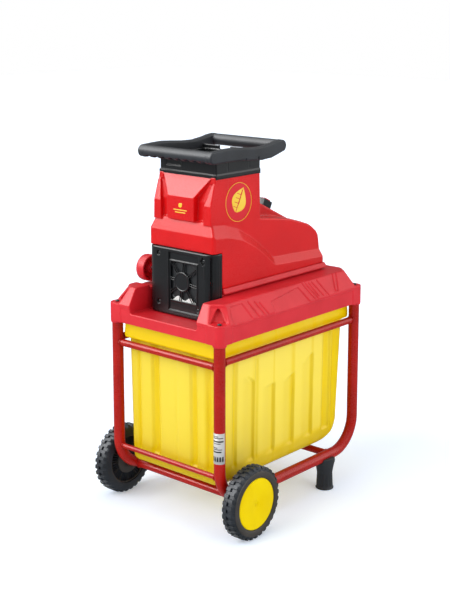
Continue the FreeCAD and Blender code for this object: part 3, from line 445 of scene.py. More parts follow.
def box_finish(name, light, deep):
    """Translucent yellow: deeper colour where the wall is folded, in the rim and near the floor, partly its
    own and partly painted shade; painted shade darker towards the floor and on both ends; a painted glow in
    the rim.
    """
    made = finish(name, light, light, 0.3, 500, 0.08, patch=9.0)
    tree = made.node_tree
    shader = tree.nodes["Principled BSDF"]
    broad = next(n for n in tree.nodes if n.bl_idname == "ShaderNodeTexNoise").outputs["Fac"]
    place = next(n for n in tree.nodes if n.bl_idname == "ShaderNodeTexCoord").outputs["Object"]
    x, y, z = add_node(tree, "SeparateXYZ", Vector=place).outputs
    normal = add_node(tree, "NewGeometry").outputs["Normal"]
    facing = add_node(tree, "SeparateXYZ", Vector=normal).outputs["Y"]
    size = tree.nodes.new("ShaderNodeMath")
    size.operation = "ABSOLUTE"
    tree.links.new(facing, size.inputs[0])
    on_end = size.outputs[0]
    across, along = ramp(tree, x, -150, 150, DEEP_ACROSS), ramp(tree, y, -252, 252, DEEP_ALONG)
    up, shade, glow = [ramp(tree, z, 110, 500, stops) for stops in (DEEP_UP, SHADE_UP, GLOW_UP)]
    # Deep colour: partly the plastic's own where it is thicker, partly painted shade in flutes, rim and near
    # the floor.
    amount = mixed(tree, "ADD", mixed(tree, "MIX", along, across, on_end), up)
    patches = add_node(tree, "MapRange", From_Min=0.35, From_Max=0.65, To_Min=0.86, To_Max=1.14, Value=broad)
    amount = mixed(tree, "MULTIPLY", amount, patches.outputs["Result"])
    colour = mixed(tree, "MIX", linear(light), linear(deep), amount)
    # Painted shade: the colour darkened towards the floor.
    colour = mixed(tree, "MULTIPLY", colour, shade)
    # Painted shade on the faces that look along the box, darker and more yellow there.
    colour = mixed(tree, "MULTIPLY", colour, mixed(tree, "MIX", (1, 1, 1, 1), PAINTED_END_SHADE, on_end))
    # The emission is painted light: the rim glows in its own colour.
    for socket, value in (
        ("Base Color", colour), ("Emission Color", colour), ("Emission Strength", glow),
        ("Specular IOR Level", 0.2), ("Subsurface Weight", 0.15), ("Subsurface Scale", 0.006),
        ("Subsurface Radius", (1.0, 0.85, 0.25)),
    ):
        feed(tree, shader.inputs[socket], value)
    return made


def make_materials():
    """One material for each slot, from rows of light tone, dark tone, roughness, grain and bump."""
    rows = {
        "hood_red": ("D6242E", "CC1D27", 0.4, 1300, 0.25),
        "housing_red": ("D60E10", "CE0A0C", 0.28, 900, 0.06),
        "frame_red": ("B01508", "9E0F05", 0.28, 420, 0.2),
        "black_plastic": ("101316", "0A0C0E", 0.3, 1500, 0.12),
        # Matte black for the ring and feet, lighter in tone than black_plastic: the lighter tone is painted
        # sheen for the ring's broad highlight and painted reflection on the feet.
        "grip_black": ("2A2D32", "212428", 0.5, 1300, 0.25),
        "wheel_grey": ("3C3630", "302B26", 0.55, 900, 0.3),
        "tyre": ("272C33", "1B2026", 0.5, 1100, 0.5),
        "cap_yellow": ("EECF00", "E6C400", 0.4, 800, 0.1),
        "emblem_yellow": ("F6CB2E", "EEBE1C", 0.35, 900, 0.1),
        "label_white": ("BEBCB8", "B2B0AC", 0.45, 1200, 0.1),
        "steel": ("B9BDC0", "9DA2A6", 0.32, 260, 0.2, 40.0, (1, 6, 1)),
        "cast_alloy": ("A7AAAB", "8E9193", 0.5, 700, 0.5),
        "capacitor_white": ("E9E9E4", "DADBD6", 0.4, 700, 0.1),
        "flap_rubber": ("26282A", "1C1E20", 0.6, 900, 0.4),
        "button_green": ("2E9E4A", "278A40", 0.35, 800, 0.1),
        "button_red": ("D81024", "CE0C1E", 0.35, 800, 0.1),
        "button_black": ("181B1E", "101315", 0.4, 900, 0.1),
    }
    shine = {
        "hood_red": 0.23, "housing_red": 0.26, "frame_red": 0.26, "button_red": 0.26,
        "black_plastic": 0.42, "grip_black": 0.4, "tyre": 0.4, "cap_yellow": 0.03,
    }
    made = {name: finish(name, *row) for name, row in rows.items()}
    for name, level in shine.items():
        made[name].node_tree.nodes["Principled BSDF"].inputs["Specular IOR Level"].default_value = level
    for name, level in (("steel", 1.0), ("cast_alloy", 0.85)):
        made[name].node_tree.nodes["Principled BSDF"].inputs["Metallic"].default_value = level
    made["box_yellow"] = box_finish("box_yellow", "FFE256", "F4CE00")
    return made


MATERIALS = make_materials()


# ---- hood ----
def side_slope(f, depth=0.0):
    """Distance above the hood's long sloping side, on both sides."""
    return plane(f, (HOOD_X, 0, HOOD_EDGE), (SLOPE_RISE, 0, SLOPE_RUN), True) + depth


def corner_slope(ax, ay, z):
    """Distance above the cut corner's sloping plane."""
    n = np.array((1449.0, 1659.0, 1536.0))
    n /= np.linalg.norm(n)
    return (ax - HOOD_X) * n[0] + (ay - 252) * n[1] + (z - HOOD_EDGE) * n[2]


def hood_body(f):
    """Outside of the hood: upright band, sloping shoulders and cut corners."""
    ax, ay = np.abs(f.x), np.abs(f.y)
    plan = rounded([ax - HOOD_X + 17, ay - HOOD_Y + 17], 17)
    inset = np.maximum(np.minimum(POST_X - 27 - ax, 1.6), np.minimum(POST_Y - 27 - ay, 1.6))
    band = np.maximum(plan, f.z - HOOD_EDGE) + np.clip(inset, 0, 1.6) * (f.z < HOOD_EDGE - 2)
    ends = ((ay - HOOD_Y) * SLOPE_RISE + (f.z - HOOD_EDGE) * END_RUN) / math.hypot(SLOPE_RISE, END_RUN)
    top = soft_max(soft_max(side_slope(f), ends, 2.5), corner_slope(ax, ay, f.z), 2.5)
    top = np.maximum(soft_max(top, f.z - HOOD_TOP, 3), np.maximum(plan, HOOD_EDGE - 8 - f.z))
    return soft_min(band, top, 0.5)


def hood_grooves(f):
    """Slanting grooves and recessed panels on the sloping sides, as (y, z) from top to bottom."""
    strokes = (
        ((-161, 566), (-146, 531)), ((-139, 562), (-124, 532)), ((-124, 558), (-110, 531)),
        ((54, 571), (76, 531)), ((66, 571), (88, 532)), ((79, 569), (94, 537)),
        ((92, 569), (112, 535)), ((114, 570), (133, 532)),
    )
    for stroke in strokes:
        ends = [(HOOD_X - (z - HOOD_EDGE) * SLOPE_RUN / SLOPE_RISE - 0.3, y, z) for y, z in stroke]
        part = f.near((-195, stroke[0][0] - 8, 520), (195, stroke[1][0] + 8, 582))
        part.cut(bar(part, *ends, 2.3, True), 0.8)
    panels = (
        ([(-84, 553), (35, 566), (56, 529), (-83, 528)], 2.6),
        ([(-238, 540), (-226, 566), (-182, 566), (-168, 530), (-232, 530)], 2.2),
    )
    for points, depth in panels:
        ys = [p[0] for p in points]
        part = f.near((-195, min(ys) - 6, 515), (195, max(ys) + 6, 585))
        part.cut(soft_max(outline(points, part.y, part.z), -side_slope(part, depth), 1.0), 1.0)
    part = f.near((-200, 140, 500), (200, 220, 585))
    loop = [(160.0, 184, 573), (186.0, 165, 535), (186.0, 176, 535), (160.0, 200, 573)]
    for a, b in ((0, 1), (2, 3), (1, 2)):
        part.cut(bar(part, loop[a], loop[b], 2.2, True), 1.0)


def corner_pockets(f):
    """Shallow panel and deeper arched pocket in the cut corners at the front."""
    for side in (-1, 1):
        low, high = sorted((side * 120, side * 200))
        part = f.near((low, -300, 520), (high, -220, 585))
        ax, ay = np.abs(part.x), -part.y
        along = (ax - 168.75) * 0.753 - (ay - 269.25) * 0.658
        depth = corner_slope(ax, ay, part.z)
        wide = np.abs(along) - np.interp(part.z, (534, 568), (22.5, 18.5))
        panel = np.maximum(wide, np.maximum(534.5 - part.z, part.z - 568))
        part.cut(soft_max(panel, -(depth + 1.8), 0.8), 0.8)
        wide = np.abs(along + 1) - np.interp(part.z, (533, 558, 564), (19, 6.5, 2))
        pocket = np.maximum(wide * 0.9, np.maximum(533.5 - part.z, part.z - 564))
        part.cut(soft_max(pocket, -(depth + 13), 1.5), 1.0)


def rectangle(half, front, rear):
    """Outline from above, from -half to half across and from front to rear."""
    return [(-half, front), (half, front), (half, rear), (-half, rear)]


def hood():
    """Hood shell: step and well for the cutting unit, housing lip, sockets on the posts."""
    f = Field((-HOOD_X, -HOOD_Y, 478), (HOOD_X, HOOD_Y, LIP_TOP), 1.8)
    f.d[...] = hood_body(f)
    part = f.near((-130, -300, 495), (130, -20, 600))
    part.cut(block(part, -112, 112, -400, -187, 512, 700, 5), 3)
    part.cut(block(part, -94, 94, -192, -30, 512, 700, 2))
    low, high = (-190, KNOB_Y - 50, 550), (-100, KNOB_Y + 50, 600)
    pocket(f, low, high, (-176, -100, KNOB_Y - 38, KNOB_Y + 38, 566, 700), 6, 2)
    hood_grooves(f)
    corner_pockets(f)
    f.hollow(3.4)
    f.keep(485 - f.z)
    part = f.near((-125, -200, 560), (125, 240, 600))
    wide = np.interp(part.z, (HOOD_TOP, 581, LIP_TOP), (113.5, 113, 108.5))
    lip = soft_max(np.abs(part.x) - wide, np.maximum(-185 - part.y, part.y - wide - 113), 1.5)
    lip = soft_max(lip, np.maximum(578.5 - part.z, part.z - LIP_TOP), 1.5)
    foot_of_lip = slab(outline(rectangle(103.5, -187, 217), part.x, part.y), part.z, 571, 581)
    well = slab(outline(rectangle(98, -300, 214), part.x, part.y), part.z, 560, 600)
    part.add(np.maximum(np.minimum(lip, foot_of_lip), -well))
    for x, y in POSTS:
        part = f.near((x - 30, y - 30, 470), (x + 30, y + 30, 600))
        part.add(rod(part, "z", (x, y), 17.0, 479, HOOD_EDGE - 1, 2.5), 1.5)
        part.cut(rod(part, "z", (x, y), 14.15, 470, 526.2))
        part.cut(rod(part, "z", (x, y), 11.0, HOOD_EDGE + 0.2, 620, 1), 1.2)
    pocket(f, (-200, 240, 470), (200, 300, 510), (-155, 155, 252, 320, 440, 500), 3)
    pocket(f, (-70, -225, 495), (80, -100, 520), (DRUM_X - 58, DRUM_X + 58, -212, -112, 495, 530), 3)
    pocket(f, (-60, 270, 490), (60, 300, 560), (-30, 30, HOOD_Y - 0.6, HOOD_Y + 5, 498, 560), 1)
    made = moulded("hood_shell", f, "frame", "hood_red", 0.3)
    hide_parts("hood")


# ---- red housing ----
def flank(f):
    """Half width of the housing: tower above, wider shoulder below the swept facet."""
    low = np.interp(f.y, *zip(*SWOOSH_LOW))
    high = np.interp(f.y, *zip(*SWOOSH_HIGH))
    t = np.clip((f.z - low) / (high - low), 0, 1)
    return BODY_X - (BODY_X - np.interp(f.z, *TOWER_HALF)) * t


def tower_front(f):
    """Tower with its sloping front, middle block and corner blocks."""
    ax, half = np.abs(f.x), flank(f)
    face = np.interp(
        f.z, (560, 720, 752, 757, 800, 845, 866), (-217.7, -217.7, -208.5, -204.0, -203, -194, -190.5)
    )
    tower = soft_max(soft_max((ax - half) * 0.95, face - f.y, 5), f.y + 29, 4)
    tower = np.maximum(np.maximum(tower, f.z - TOWER_TOP), 600 - f.z)
    width = np.interp(f.z, (740, 811, 858, 870), (44, 44, 79, 79))
    nose = np.interp(f.z, (740, 752, 810, TOWER_TOP), (-217.0, -219.3, -219.3, -193.0))
    middle = soft_max((ax - width) * 0.85, (nose - f.y) * 0.92, 1.2)
    wing_face = np.interp(f.z, (740, 794, 843, 845, 866), (-214.5, -214, -199.5, -197, -194.5))
    inner = np.interp(f.z, (740, 790, 845, 846, 866), (70, 70, 84, 78, 78))
    wing = soft_max(np.maximum(inner - ax, ax - half - 0.3), (wing_face - f.y) * 0.94, 2.0)
    for raised, foot_z in ((middle, 753), (wing, 747)):
        raised = soft_max(raised, np.maximum(foot_z - f.z, f.z - TOWER_TOP), 1.2)
        tower = soft_min(tower, np.maximum(raised, f.y + 150), 0.6)
    return tower


def hump(f):
    """Motor cover behind the tower with the swept shoulder along its side."""
    profile = [(-186, 560), (-186, 746), (-110, 745), (-30, 744), (44, 733), (92, 725), (134, 712.5),
               (168, 701), (183, 692.5), (201, 679), (210, 667.5), (214, 650.5), (217.5, 625), (218, 560)]
    body = soft_max((np.abs(f.x) - flank(f)) * 0.93, outline(profile, f.y, f.z), 5)
    ridge = outline([(-60, 690), (-60, 766), (36, 766), (160, 706), (150, 690)], f.y, f.z)
    return soft_min(body, soft_max(np.abs(f.x) - 42, ridge, 3.5), 2)


def housing():
    """Red housing shell with vents, inlet and switch openings."""
    f = Field((-110, -220.5, 590), (110, 219, 863), 1.7)
    f.d[...] = soft_min(tower_front(f), hump(f), 0.6)
    corner = 9 - np.sqrt(np.maximum(np.abs(f.x) - 98.3, 0) ** 2 + np.maximum(-208.7 - f.y, 0) ** 2)
    f.keep(np.where(f.z < 735, -corner, -100.0))
    f.hollow(3.2)
    f.keep(LIP_TOP - f.z)
    pocket(f, (-115, -230, 580), (115, -186.5, 682), (-115, 115, -240, -186.8, 560, 681))
    pocket(f, (-100, -200, 850), (100, -20, 880), (-89.5, 89.5, -189, -32, 840, 880), 3)
    part = f.near((-120, KNOB_Y - 15, 590), (-90, KNOB_Y + 15, 625))
    part.cut(rod(part, "x", (KNOB_Y, KNOB_Z), 8.2, -130, -80))
    rear = f.near((-75, 190, 590), (75, 230, 700))
    rear.cut(block(rear, -20.6, 20.6, 190, 230, 612, 644, 2))
    rear.cut(rod(rear, "y", (0.0, 664), 5.8, 190, 230))
    for k in range(5):
        z = 602 + 9 * k
        for x in (-62, 32):
            rear.cut(block(rear, x, x + 30, 190, 230, z, z + 4.2, 2), 1)
    top = f.near((-20, 60, 710), (20, 110, 770))
    tilt = math.radians(SWITCH_TILT)
    y, z = top.y - SWITCH_Y, top.z - SWITCH_Z
    v = y * math.cos(tilt) + z * math.sin(tilt)
    w = -y * math.sin(tilt) + z * math.cos(tilt)
    top.cut(np.maximum(np.maximum(np.abs(top.x) - 15, np.abs(v) - 13.2), np.abs(w) - 12))
    made = moulded("housing_shell", f, "frame", "housing_red", 0.28)
    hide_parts("main_housing")


# ---- black cover over the cutting unit ----
def cover():
    """Cover with recessed middle, square window, bearing boss and thin fins."""
    f = Field((-108, -225.5, 513), (108, -186, 681), 1.05)
    plan = rounded([np.abs(f.x) - BODY_X + 26, COVER_FRONT + 26 - f.y], 26)
    f.d[...] = soft_max(plan, np.maximum(514 - f.z, f.z - 680), 4)
    f.hollow(6.5)
    f.keep(f.y + 187.6)
    f.cut(block(f, -100.3, 100.3, -218.5, -100, 500, 676, 4))
    low = f.near((-110, -230, 505), (110, -180, 530))
    low.add(block(low, -86, 86, COVER_FRONT, -219, 515, 521.5, 1.2), 1.0)
    f.cut(block(f, -36, 64, -240, COVER_FRONT + 3.4, 526, 671, 1.5), 0.8)
    f.cut(block(f, -30, 56, -235, -200, 552, 648, 2.5), 0.8)
    bezel = block(f, -34, 60, -223.8, -219.5, 548, 652, 1.5)
    f.add(np.maximum(bezel, -block(f, -30, 56, -240, -200, 552, 648, 2)), 0.6)
    f.cut(block(f, -88, 78, -219.5, -180, 664, 690))
    for x, z in COVER_HOLES:
        part = f.near((x - 16, -240, z - 16), (x + 16, -200, z + 16))
        if x == 78:
            diamond = (np.abs(part.x - x) * 1.3 + np.abs(part.z - z) - 11) * 0.65
            part.cut(np.maximum(diamond, part.y + 220.5), 0.8)
        part.cut(rod(part, "y", (x, z), 6.0, -240, -220.8, 0.5), 0.8)
    for x, y, top_z, low_z, radius, blend in (
        (84, -224.2, 652, 622, 1.5, 1.0),
        (-36, -224.2, 672, 535, 1.3, 0.8),
        (84.5, -224.0, 610, 545, 1.0, 0.8),
    ):
        f.add(bar(f, (x, y, top_z), (x, y, low_z), radius), blend)
    edge = f.near((-112, -215, 520), (112, -185, 672))
    for y in (-203, -195):
        edge.cut(bar(edge, (BODY_X + 0.5, y, 662), (BODY_X + 0.5, y, 526), 1.6, True), 0.8)
    f.add(rod(f, "y", (DRUM_X, BOSS_Z), 25, -224.6, -219.2, 1.8), 0.5)
    f.cut(rod(f, "y", (DRUM_X, BOSS_Z), 21.0, -226, -223.6, 0.4), 0.6)
    for k in range(8):
        a = math.radians(8 + 45 * k)
        (x0, z0), (x1, z1) = [(DRUM_X + r * math.sin(a), BOSS_Z + r * math.cos(a)) for r in (23, 66)]
        n = (z1 - z0, -(x1 - x0))
        size = math.hypot(*n)
        across = ((f.x - x0) * n[0] + (f.z - z0) * n[1]) / size
        along = ((f.x - x0) * (x1 - x0) + (f.z - z0) * (z1 - z0)) / size
        fin = np.maximum(np.abs(np.abs(across) - 2.6) - 0.9, np.maximum(-along, along - 43))
        fin = np.maximum(fin, np.maximum(-223.2 - f.y, f.y + 219.6))
        f.add(np.maximum(fin, block(f, -31, 57, -230, -210, 551, 649)))
    made = moulded("cover_shell", f, "frame", "black_plastic", 0.45)
    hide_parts("cutter_cover")
    # Behind the window, a black plate with raised rings: painted shade standing in for the dark inside of
    # the cutting chamber.
    plate = Field((-50, -218.9, 530), (74, -216.2, 668), 1.0)
    plate.d[...] = block(plate, -49, 73, -218.2, -216.4, 531, 667, 0.8)
    for k in range(4):
        plate.add(rod(plate, "y", (DRUM_X, BOSS_Z), 30 + 8 * k, -218.7, -217))
        plate.cut(rod(plate, "y", (DRUM_X, BOSS_Z), 28.5 + 8 * k, -219.5, -217.7))
    moulded("window_shade_plate", plate, "frame", "button_black", 0.4)


# ---- hopper collar and carrying ring ----
def collar():
    """Square black collar with a flange on top, a raised rear edge and shallow grooves."""
    f = Field((-102, -195, 855), (102, -25, 915), 1.4)
    f.d[...] = block(f, -92.5, 92.5, -192, -29, 840, 915, 2.5)
    f.add(block(f, -93.8, 93.8, -194.4, -28, 856, 868, 1.0), 0.6)
    f.keep(np.maximum(856 - f.z, f.z - 899.5))
    f.add(block(f, -101.8, 101.8, -194, -27, 898.4, 904, 1.2), 1.5)
    f.cut(block(f, -88.4, 88.4, -187.8, -33.2, 840, 930, 4))
    edge = block(f, -99, 99, -32, -27.5, 900, 914.5, 1.2)
    f.add(np.maximum(edge, -block(f, *REAR_NOTCH, -50, 0, 905, 930, 1.5)), 1.0)
    f.cut(block(f, -72, -22, -200, -189.6, 880, 891, 1.5), 0.8)
    f.cut(bar(f, (-95, -193, 873), (95, -193, 873), 1.1))
    for x in (-84, 84):
        f.cut(bar(f, (x, -193, 868), (x, -193, 897), 1.5), 0.6)
    for y in (-150, -70):
        part = f.near((-110, y - 12, 865), (110, y + 12, 900))
        part.cut(bar(part, (92.8, y, 874), (92.8, y, 896), 1.2, True), 0.6)
    made = moulded("collar_shell", f, "frame", "black_plastic", 0.35)
    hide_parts("hopper_collar")


def ring():
    """Carrying ring: two wavy cheeks joined by a front and a rear grip."""
    f = Field((-RING_X - 0.5, -243.5, 889), (RING_X + 0.5, 40.5, 936.5), 1.4)
    ys = (-243, -228, -198, -163, -127, -91, -53, -16, 4, 25, 40)
    top = np.interp(f.y, ys, (914, 929, 931, 932, 929.5, 926.5, 925.5, 930, 934, 936, 921))
    low = np.interp(f.y, ys, (914, 899, 899.5, 900, 899, 895.5, 892.5, 895, 900, 906, 921))
    flat = np.maximum(f.z - top, low - f.z)
    flat = np.maximum(flat, np.maximum(-228 - f.y, f.y - 25))
    for y, z in (FRONT_GRIP, REAR_GRIP):
        flat = np.minimum(flat, np.sqrt((f.y - y) ** 2 + (f.z - z) ** 2) - 15)
    cheek = slab(flat, np.abs(f.x), 102.5, RING_X, 4.0)
    inner = slab(flat, np.abs(f.x), 100.5, 106, 1.0)
    f.d[...] = np.minimum(cheek, np.maximum(inner, flat + 3))
    for y, z in (FRONT_GRIP, REAR_GRIP):
        f.add(rod(f, "x", (y, z), 14.6, -110, 110), 2.0)
    grip = f.near((-100, -248, 883), (100, -207, 916))
    rear = f.near((-100, 15, 896), (100, 45, 921))
    for k in range(8):
        x = -91 + 26 * k
        grip.cut(block(grip, x - 7, x + 7, -248, -216, 883, 905.5, 3.5), 1.0)
        rear.cut(block(rear, x - 5.5, x + 5.5, 26, 45, 896, 911, 3.5), 1.2)
    for y in (-116.0, -69.0):
        part = f.near((-130, y - 12, 885), (130, y + 12, 920))
        part.cut(bar(part, (RING_X, y, 890), (RING_X, y, 900.5), 3.2, True), 0.6)
    # The ring's matte black carries a painted sheen in its lighter tone.
    made = moulded("ring_shell", f, "frame", "grip_black", 0.35)
    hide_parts("handle_ring")


# ---- collection box ----
REAR_CURVE = (
    (118, 165), (121, 183), (126, 197), (133, 215), (141, 224), (149, 229.5), (167, 235.5), (440, 249)
)
PADS = ((-144, -117, 372, 353), (-68, -38, 329, 330), (11, 40, 328, 340), (88, 118, 358, 376))
RIM_LEVELS = (
    (441.5, 2.6, 17), (443, 0.6, 10), (447, 0.0, 8), (460, 0.0, 8), (477, 0.0, 8), (483, 0.0, 8),
    (484.3, 0.6, 8), (485.6, 2.5, 8), (490.6, 2.5, 8), (491.6, 0.4, 8), (494.2, 0.0, 8), (495, 0.8, 8),
)


def ease(t):
    """0 to 1 with a soft start and end."""
    t = np.clip(t, 0, 1)
    return t * t * (3 - 2 * t)


def flute(v, a, b, wall=2.8):
    """1 between a and b, with sloping walls."""
    return ease((v - a) / wall + 0.5) * ease((b - v) / wall + 0.5)


def box_relief(x, y, z, on_end):
    """How far a wall of the box is pressed in, in mm; pads have (y, y, top z, top z) corners."""
    body = ease((z - 148) / 10) * ease((432 - z) / 10)
    if on_end:
        depth = 4.6 * flute(x, -69, -45) + 4.6 * flute(x, 62, 83) + 1.2 * flute(x, 12, 18, 2)
        depth += 2.6 * flute(x, -133, -112) + 2.6 * flute(x, 116, 132)
        return depth * body
    depth = 4.8 * flute(y, 163, 193, 4) + 3.2 * flute(y, -197, -184) + 2.8 * flute(y, 202, 226, 4)
    for y0, y1, z0, z1 in PADS:
        if y0 - 26 < y < y1 + 4:
            t = min(max((y - y0) / (y1 - y0), 0), 1)
            top = z0 + (z1 - z0) * t
            swell = ease((y - y0 + 20) / (y1 - y0 + 20)) * ease((y1 + 1.2 - y) / 2.4)
            depth += 6.0 * swell * ease((top - z) / 2.4 + 0.5)
    depth += 2.4 * flute(y, -111, -106, 3) * ease((413 - z) / 3)
    return depth * body


def box_ring(spots, z, half, front, rear, radius, inset, relief):
    """Points round the box's wall at one height, drawn in by inset, with the fluting if relief is true."""
    hx, y0, y1 = half - inset, front + inset, rear - inset
    r = max(radius - inset, 1.0)
    wide, long = 2 * (hx - r), y1 - y0 - 2 * r
    out = []
    for k, t, curved in spots:
        if curved:
            a = math.radians(90 * k + 90 * t)
            x = (hx - r) * (1 if k in (0, 3) else -1) + r * math.cos(a)
            y = (y1 - r if k in (0, 1) else y0 + r) + r * math.sin(a)
        else:
            x = (hx, hx - r - wide * t, -hx, -hx + r + wide * t)[k]
            y = (y0 + r + long * t, y1, y1 - r - long * t, y0)[k]
            if relief:
                nx, ny = ((1, 0), (0, 1), (-1, 0), (0, -1))[k]
                deep = box_relief(x, y, z, k in (1, 3))
                x, y = x - nx * deep, y - ny * deep
        out.append((x, y, z))
    return out


def box():
    """Open-topped box with fluted walls, outward rim, pull lip and rounded far corner."""
    spots = []
    for k, count in enumerate((144, 68, 144, 76)):
        n = max(int(count / COARSE), 20)
        spots += [(k, i / n, False) for i in range(n + 1)]
        spots += [(k, (i + 1) / 9, True) for i in range(8)]
    walls = []
    for z in (118.0, 119.2, 121.5, 125, 129, 134, 138, 141, 144, 147, 150):
        drop = 9 * (1 - math.sqrt(max(1 - max((134 - z) / 16, 0) ** 2, 0)))
        walls.append((z, BIN_X - 4 - drop, BIN_FRONT + 4 + drop, np.interp(z, *zip(*REAR_CURVE)), 18))
    for z in np.concatenate([np.arange(153, 432, 3.45 * COARSE), [436, 439.5]]):
        out = 4 * (z - 118) / 322
        walls.append((float(z), BIN_X - 4 + out, BIN_FRONT + 4 - out, np.interp(z, *zip(*REAR_CURVE)), 18))
    rings = [box_ring(spots, *level, 0.0, True) for level in walls]
    for z, draw, radius in RIM_LEVELS:
        flare = 2.5 if z < 470 else 0.0
        level = (z, RIM_X + flare - draw, RIM_FRONT + draw, RIM_REAR - draw, radius)
        rings.append(box_ring(spots, *level, 0.0, False))
    inner = ((495, 149.0, -261.4, 263, 6), (446, 151.0, -261.4, 263, 6), (442.5, 150.0, -251.6, 247, 16))
    for level in inner:
        rings.append(box_ring(spots, *level, 0.0, False))
    rings += [box_ring(spots, *level, 2.5, True) for level in reversed(walls) if 121 < level[0] < 439]
    n = len(spots)
    faces = woven(len(rings), n, False)
    faces.append(tuple(range(n))[::-1])
    faces.append(tuple(range((len(rings) - 1) * n, len(rings) * n)))
    made = outward(piece("box_shell", sum(rings, []), faces, "box", "box_yellow"))
    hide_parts("collection_box")
    f = Field((-70, 258, 473), (70, 280, 495.2), 1.1)
    f.d[...] = block(f, -70, 70, 262, 280, 489.6, 494.8, 1.6)
    f.add(block(f, -70, 70, 276, 280, 473, 494.8, 1.8), 1.5)
    for x in (-48, -24, 0, 24, 48):
        part = f.near((x - 8, 250, 470), (x + 8, 290, 500))
        part.add(block(part, x - 1.2, x + 1.2, 262, 278, 485, 492, 0.8), 1.5)
    moulded("box_grip", f, "box", "box_yellow", 0.4)


# ---- wheels ----
def tyre_blocks(side):
    """Tyre with two staggered rows of tread blocks over a smooth sidewall."""
    lugs = 32
    turn = 2 * math.pi / lugs
    marks = sorted(
        (k + s) * turn
        for k in range(lugs)
        for s in (0.02, 0.055, 0.2, 0.345, 0.38, 0.52, 0.555, 0.7, 0.845, 0.88)
    )
    profile = [
        (0.0, CAP_R + 0.1), (0.0, 76.0), (1.2, 80.5), (4.0, 84.0), (7.0, 85.0),
        (9.0, 85.5), (14.0, 85.9), (18.6, 86.0), (19.2, 84.6), (21.6, 84.6), (22.2, 86.0),
        (27.0, 85.9), (31.5, 85.4), (34.5, 84.6), (37.2, 82.5), (38.4, 79.8),
        (40.0, 79.0), (40.4, 77.0), (40.0, 71.0), (39.4, 66.0), (39.0, CAP_R + 0.1),
    ]
    points = []
    for a in marks:
        phase = (a / turn) % 1.0
        row_a = 0.038 < phase < 0.53
        for h, r in profile:
            lift = (4.0 <= h < 19.0) if row_a else (21.9 <= h <= 38.0)
            top = WHEEL_R - 0.1 if 7.0 <= h <= 34.5 else WHEEL_R - 2.0
            radius = top if lift and r > 82 else r
            if lift and h in (4.0, 37.2):
                radius = r + 2.6
            x = side * (WHEEL_IN + h)
            points.append((x, AXLE_Y + radius * math.sin(a), WHEEL_R + radius * math.cos(a)))
    return points, woven(len(marks), len(profile))


def wheel(name, side):
    """Tyre, ribbed rim, hub and flat cap of one wheel."""
    body, axle = "wheel_" + name, (AXLE_Y, WHEEL_R)
    made = creased(outward(piece("tyre_shell_" + name, *tyre_blocks(side), body, "tyre")), 38)
    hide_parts("tyre_" + name)

    def turned(title, profile, slot, steps):
        """Part turned round the axle, from (distance outwards, radius) pairs."""
        across = [(side * (WHEEL_IN + h), r) for h, r in profile]
        return outward(piece(title + name, *lathe(across, axle, steps), body, slot))

    sidewall = [
        (40.1, 79.8), (40.7, 78.5), (40.9, 72.0), (40.3, 65.2), (39.6, 64.3), (38.6, 66.0), (38.6, 78.6)
    ]
    turned("tyre_side_", sidewall, "wheel_grey", 120)
    cap = [
        (37.2, 0.02), (38.9, 0.02), (38.9, 12.0), (39.6, 14.0), (40.4, 30.0), (40.5, 52.0), (40.1, 60.5),
        (39.4, 63.0), (38.0, 63.4), (37.0, 62.8), (37.2, 40.0),
    ]
    made = turned("cap_disc_", cap, "cap_yellow", 120)
    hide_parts("hubcap_" + name)
    ribs = []
    quads = [(0, 2, 4, 6), (1, 7, 5, 3), (0, 1, 3, 2), (2, 3, 5, 4), (4, 5, 7, 6), (6, 7, 1, 0)]
    for k in range(48):
        a = 2 * math.pi * k / 48
        c, s = math.cos(a), math.sin(a)
        points = []
        for h, r in ((4.0, 18.0), (4.0, 58.8), (24.8, 58.8), (24.8, 18.0)):
            for t in (-0.7, 0.7):
                points.append((side * (WHEEL_IN + h), AXLE_Y + r * s + t * c, WHEEL_R + r * c - t * s))
        ribs.append((points, quads))
    outward(piece("rim_ribs_" + name, *joined(ribs), body, "tyre", False))
    hub = [(0.4, 12.5), (0.4, 34.0), (1.4, 36.5), (3.0, 37.5), (6.5, 37.5), (6.5, 12.5)]
    turned("hub_disc_", hub, "wheel_grey", 96)


# ---- feet, knob, screws, latch and trim ----
def foot(name, side):
    """Moulded foot: saddle round the tube, narrower waist, small base lip and upright slots."""
    cx, cy = side * POST_X, 150.0
    f = Field((cx - 27, cy - 34, 0), (cx + 27, cy + 34, 88), 1.0)
    half_x = np.interp(f.z, (0, 3, 6, 45, 62, 80, 90), (24, 24, 22.0, 20.4, 22.5, 25.5, 26))
    half_y = np.interp(f.z, (0, 3, 6, 45, 60, 75, 90), (24, 24, 22.0, 21.0, 25.0, 31, 33))
    u, v = (f.x - cx) / half_x, (f.y - cy) / half_y
    size = np.sqrt(u * u + v * v)
    f.d[...] = (size - 1) * np.minimum(half_x, half_y)
    f.keep(soft_max(-f.z, f.z - 87, 0), 2)
    f.cut(rod(f, "y", (cx, 88.0), 14.3, cy - 60, cy + 60), 1.0)
    f.cut(rod(f, "x", (172.0, 86.0), 9.4, -200, 200), 0.8)
    for k in range(12):
        a = math.radians(15 + 30 * k)
        x, y = cx + 23.4 * math.sin(a), cy + 23.8 * math.cos(a)
        f.cut(bar(f, (x, y, 12), (x, y, 40), 3.0), 1.2)
    f.cut(rod(f, "z", (cx, cy), 16.5, -5, 30, 1))
    # The foot's matte black carries a painted reflection in its lighter tone.
    made = moulded("foot_shell_" + name, f, "frame", "grip_black", 0.4)
    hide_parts("foot_" + name)


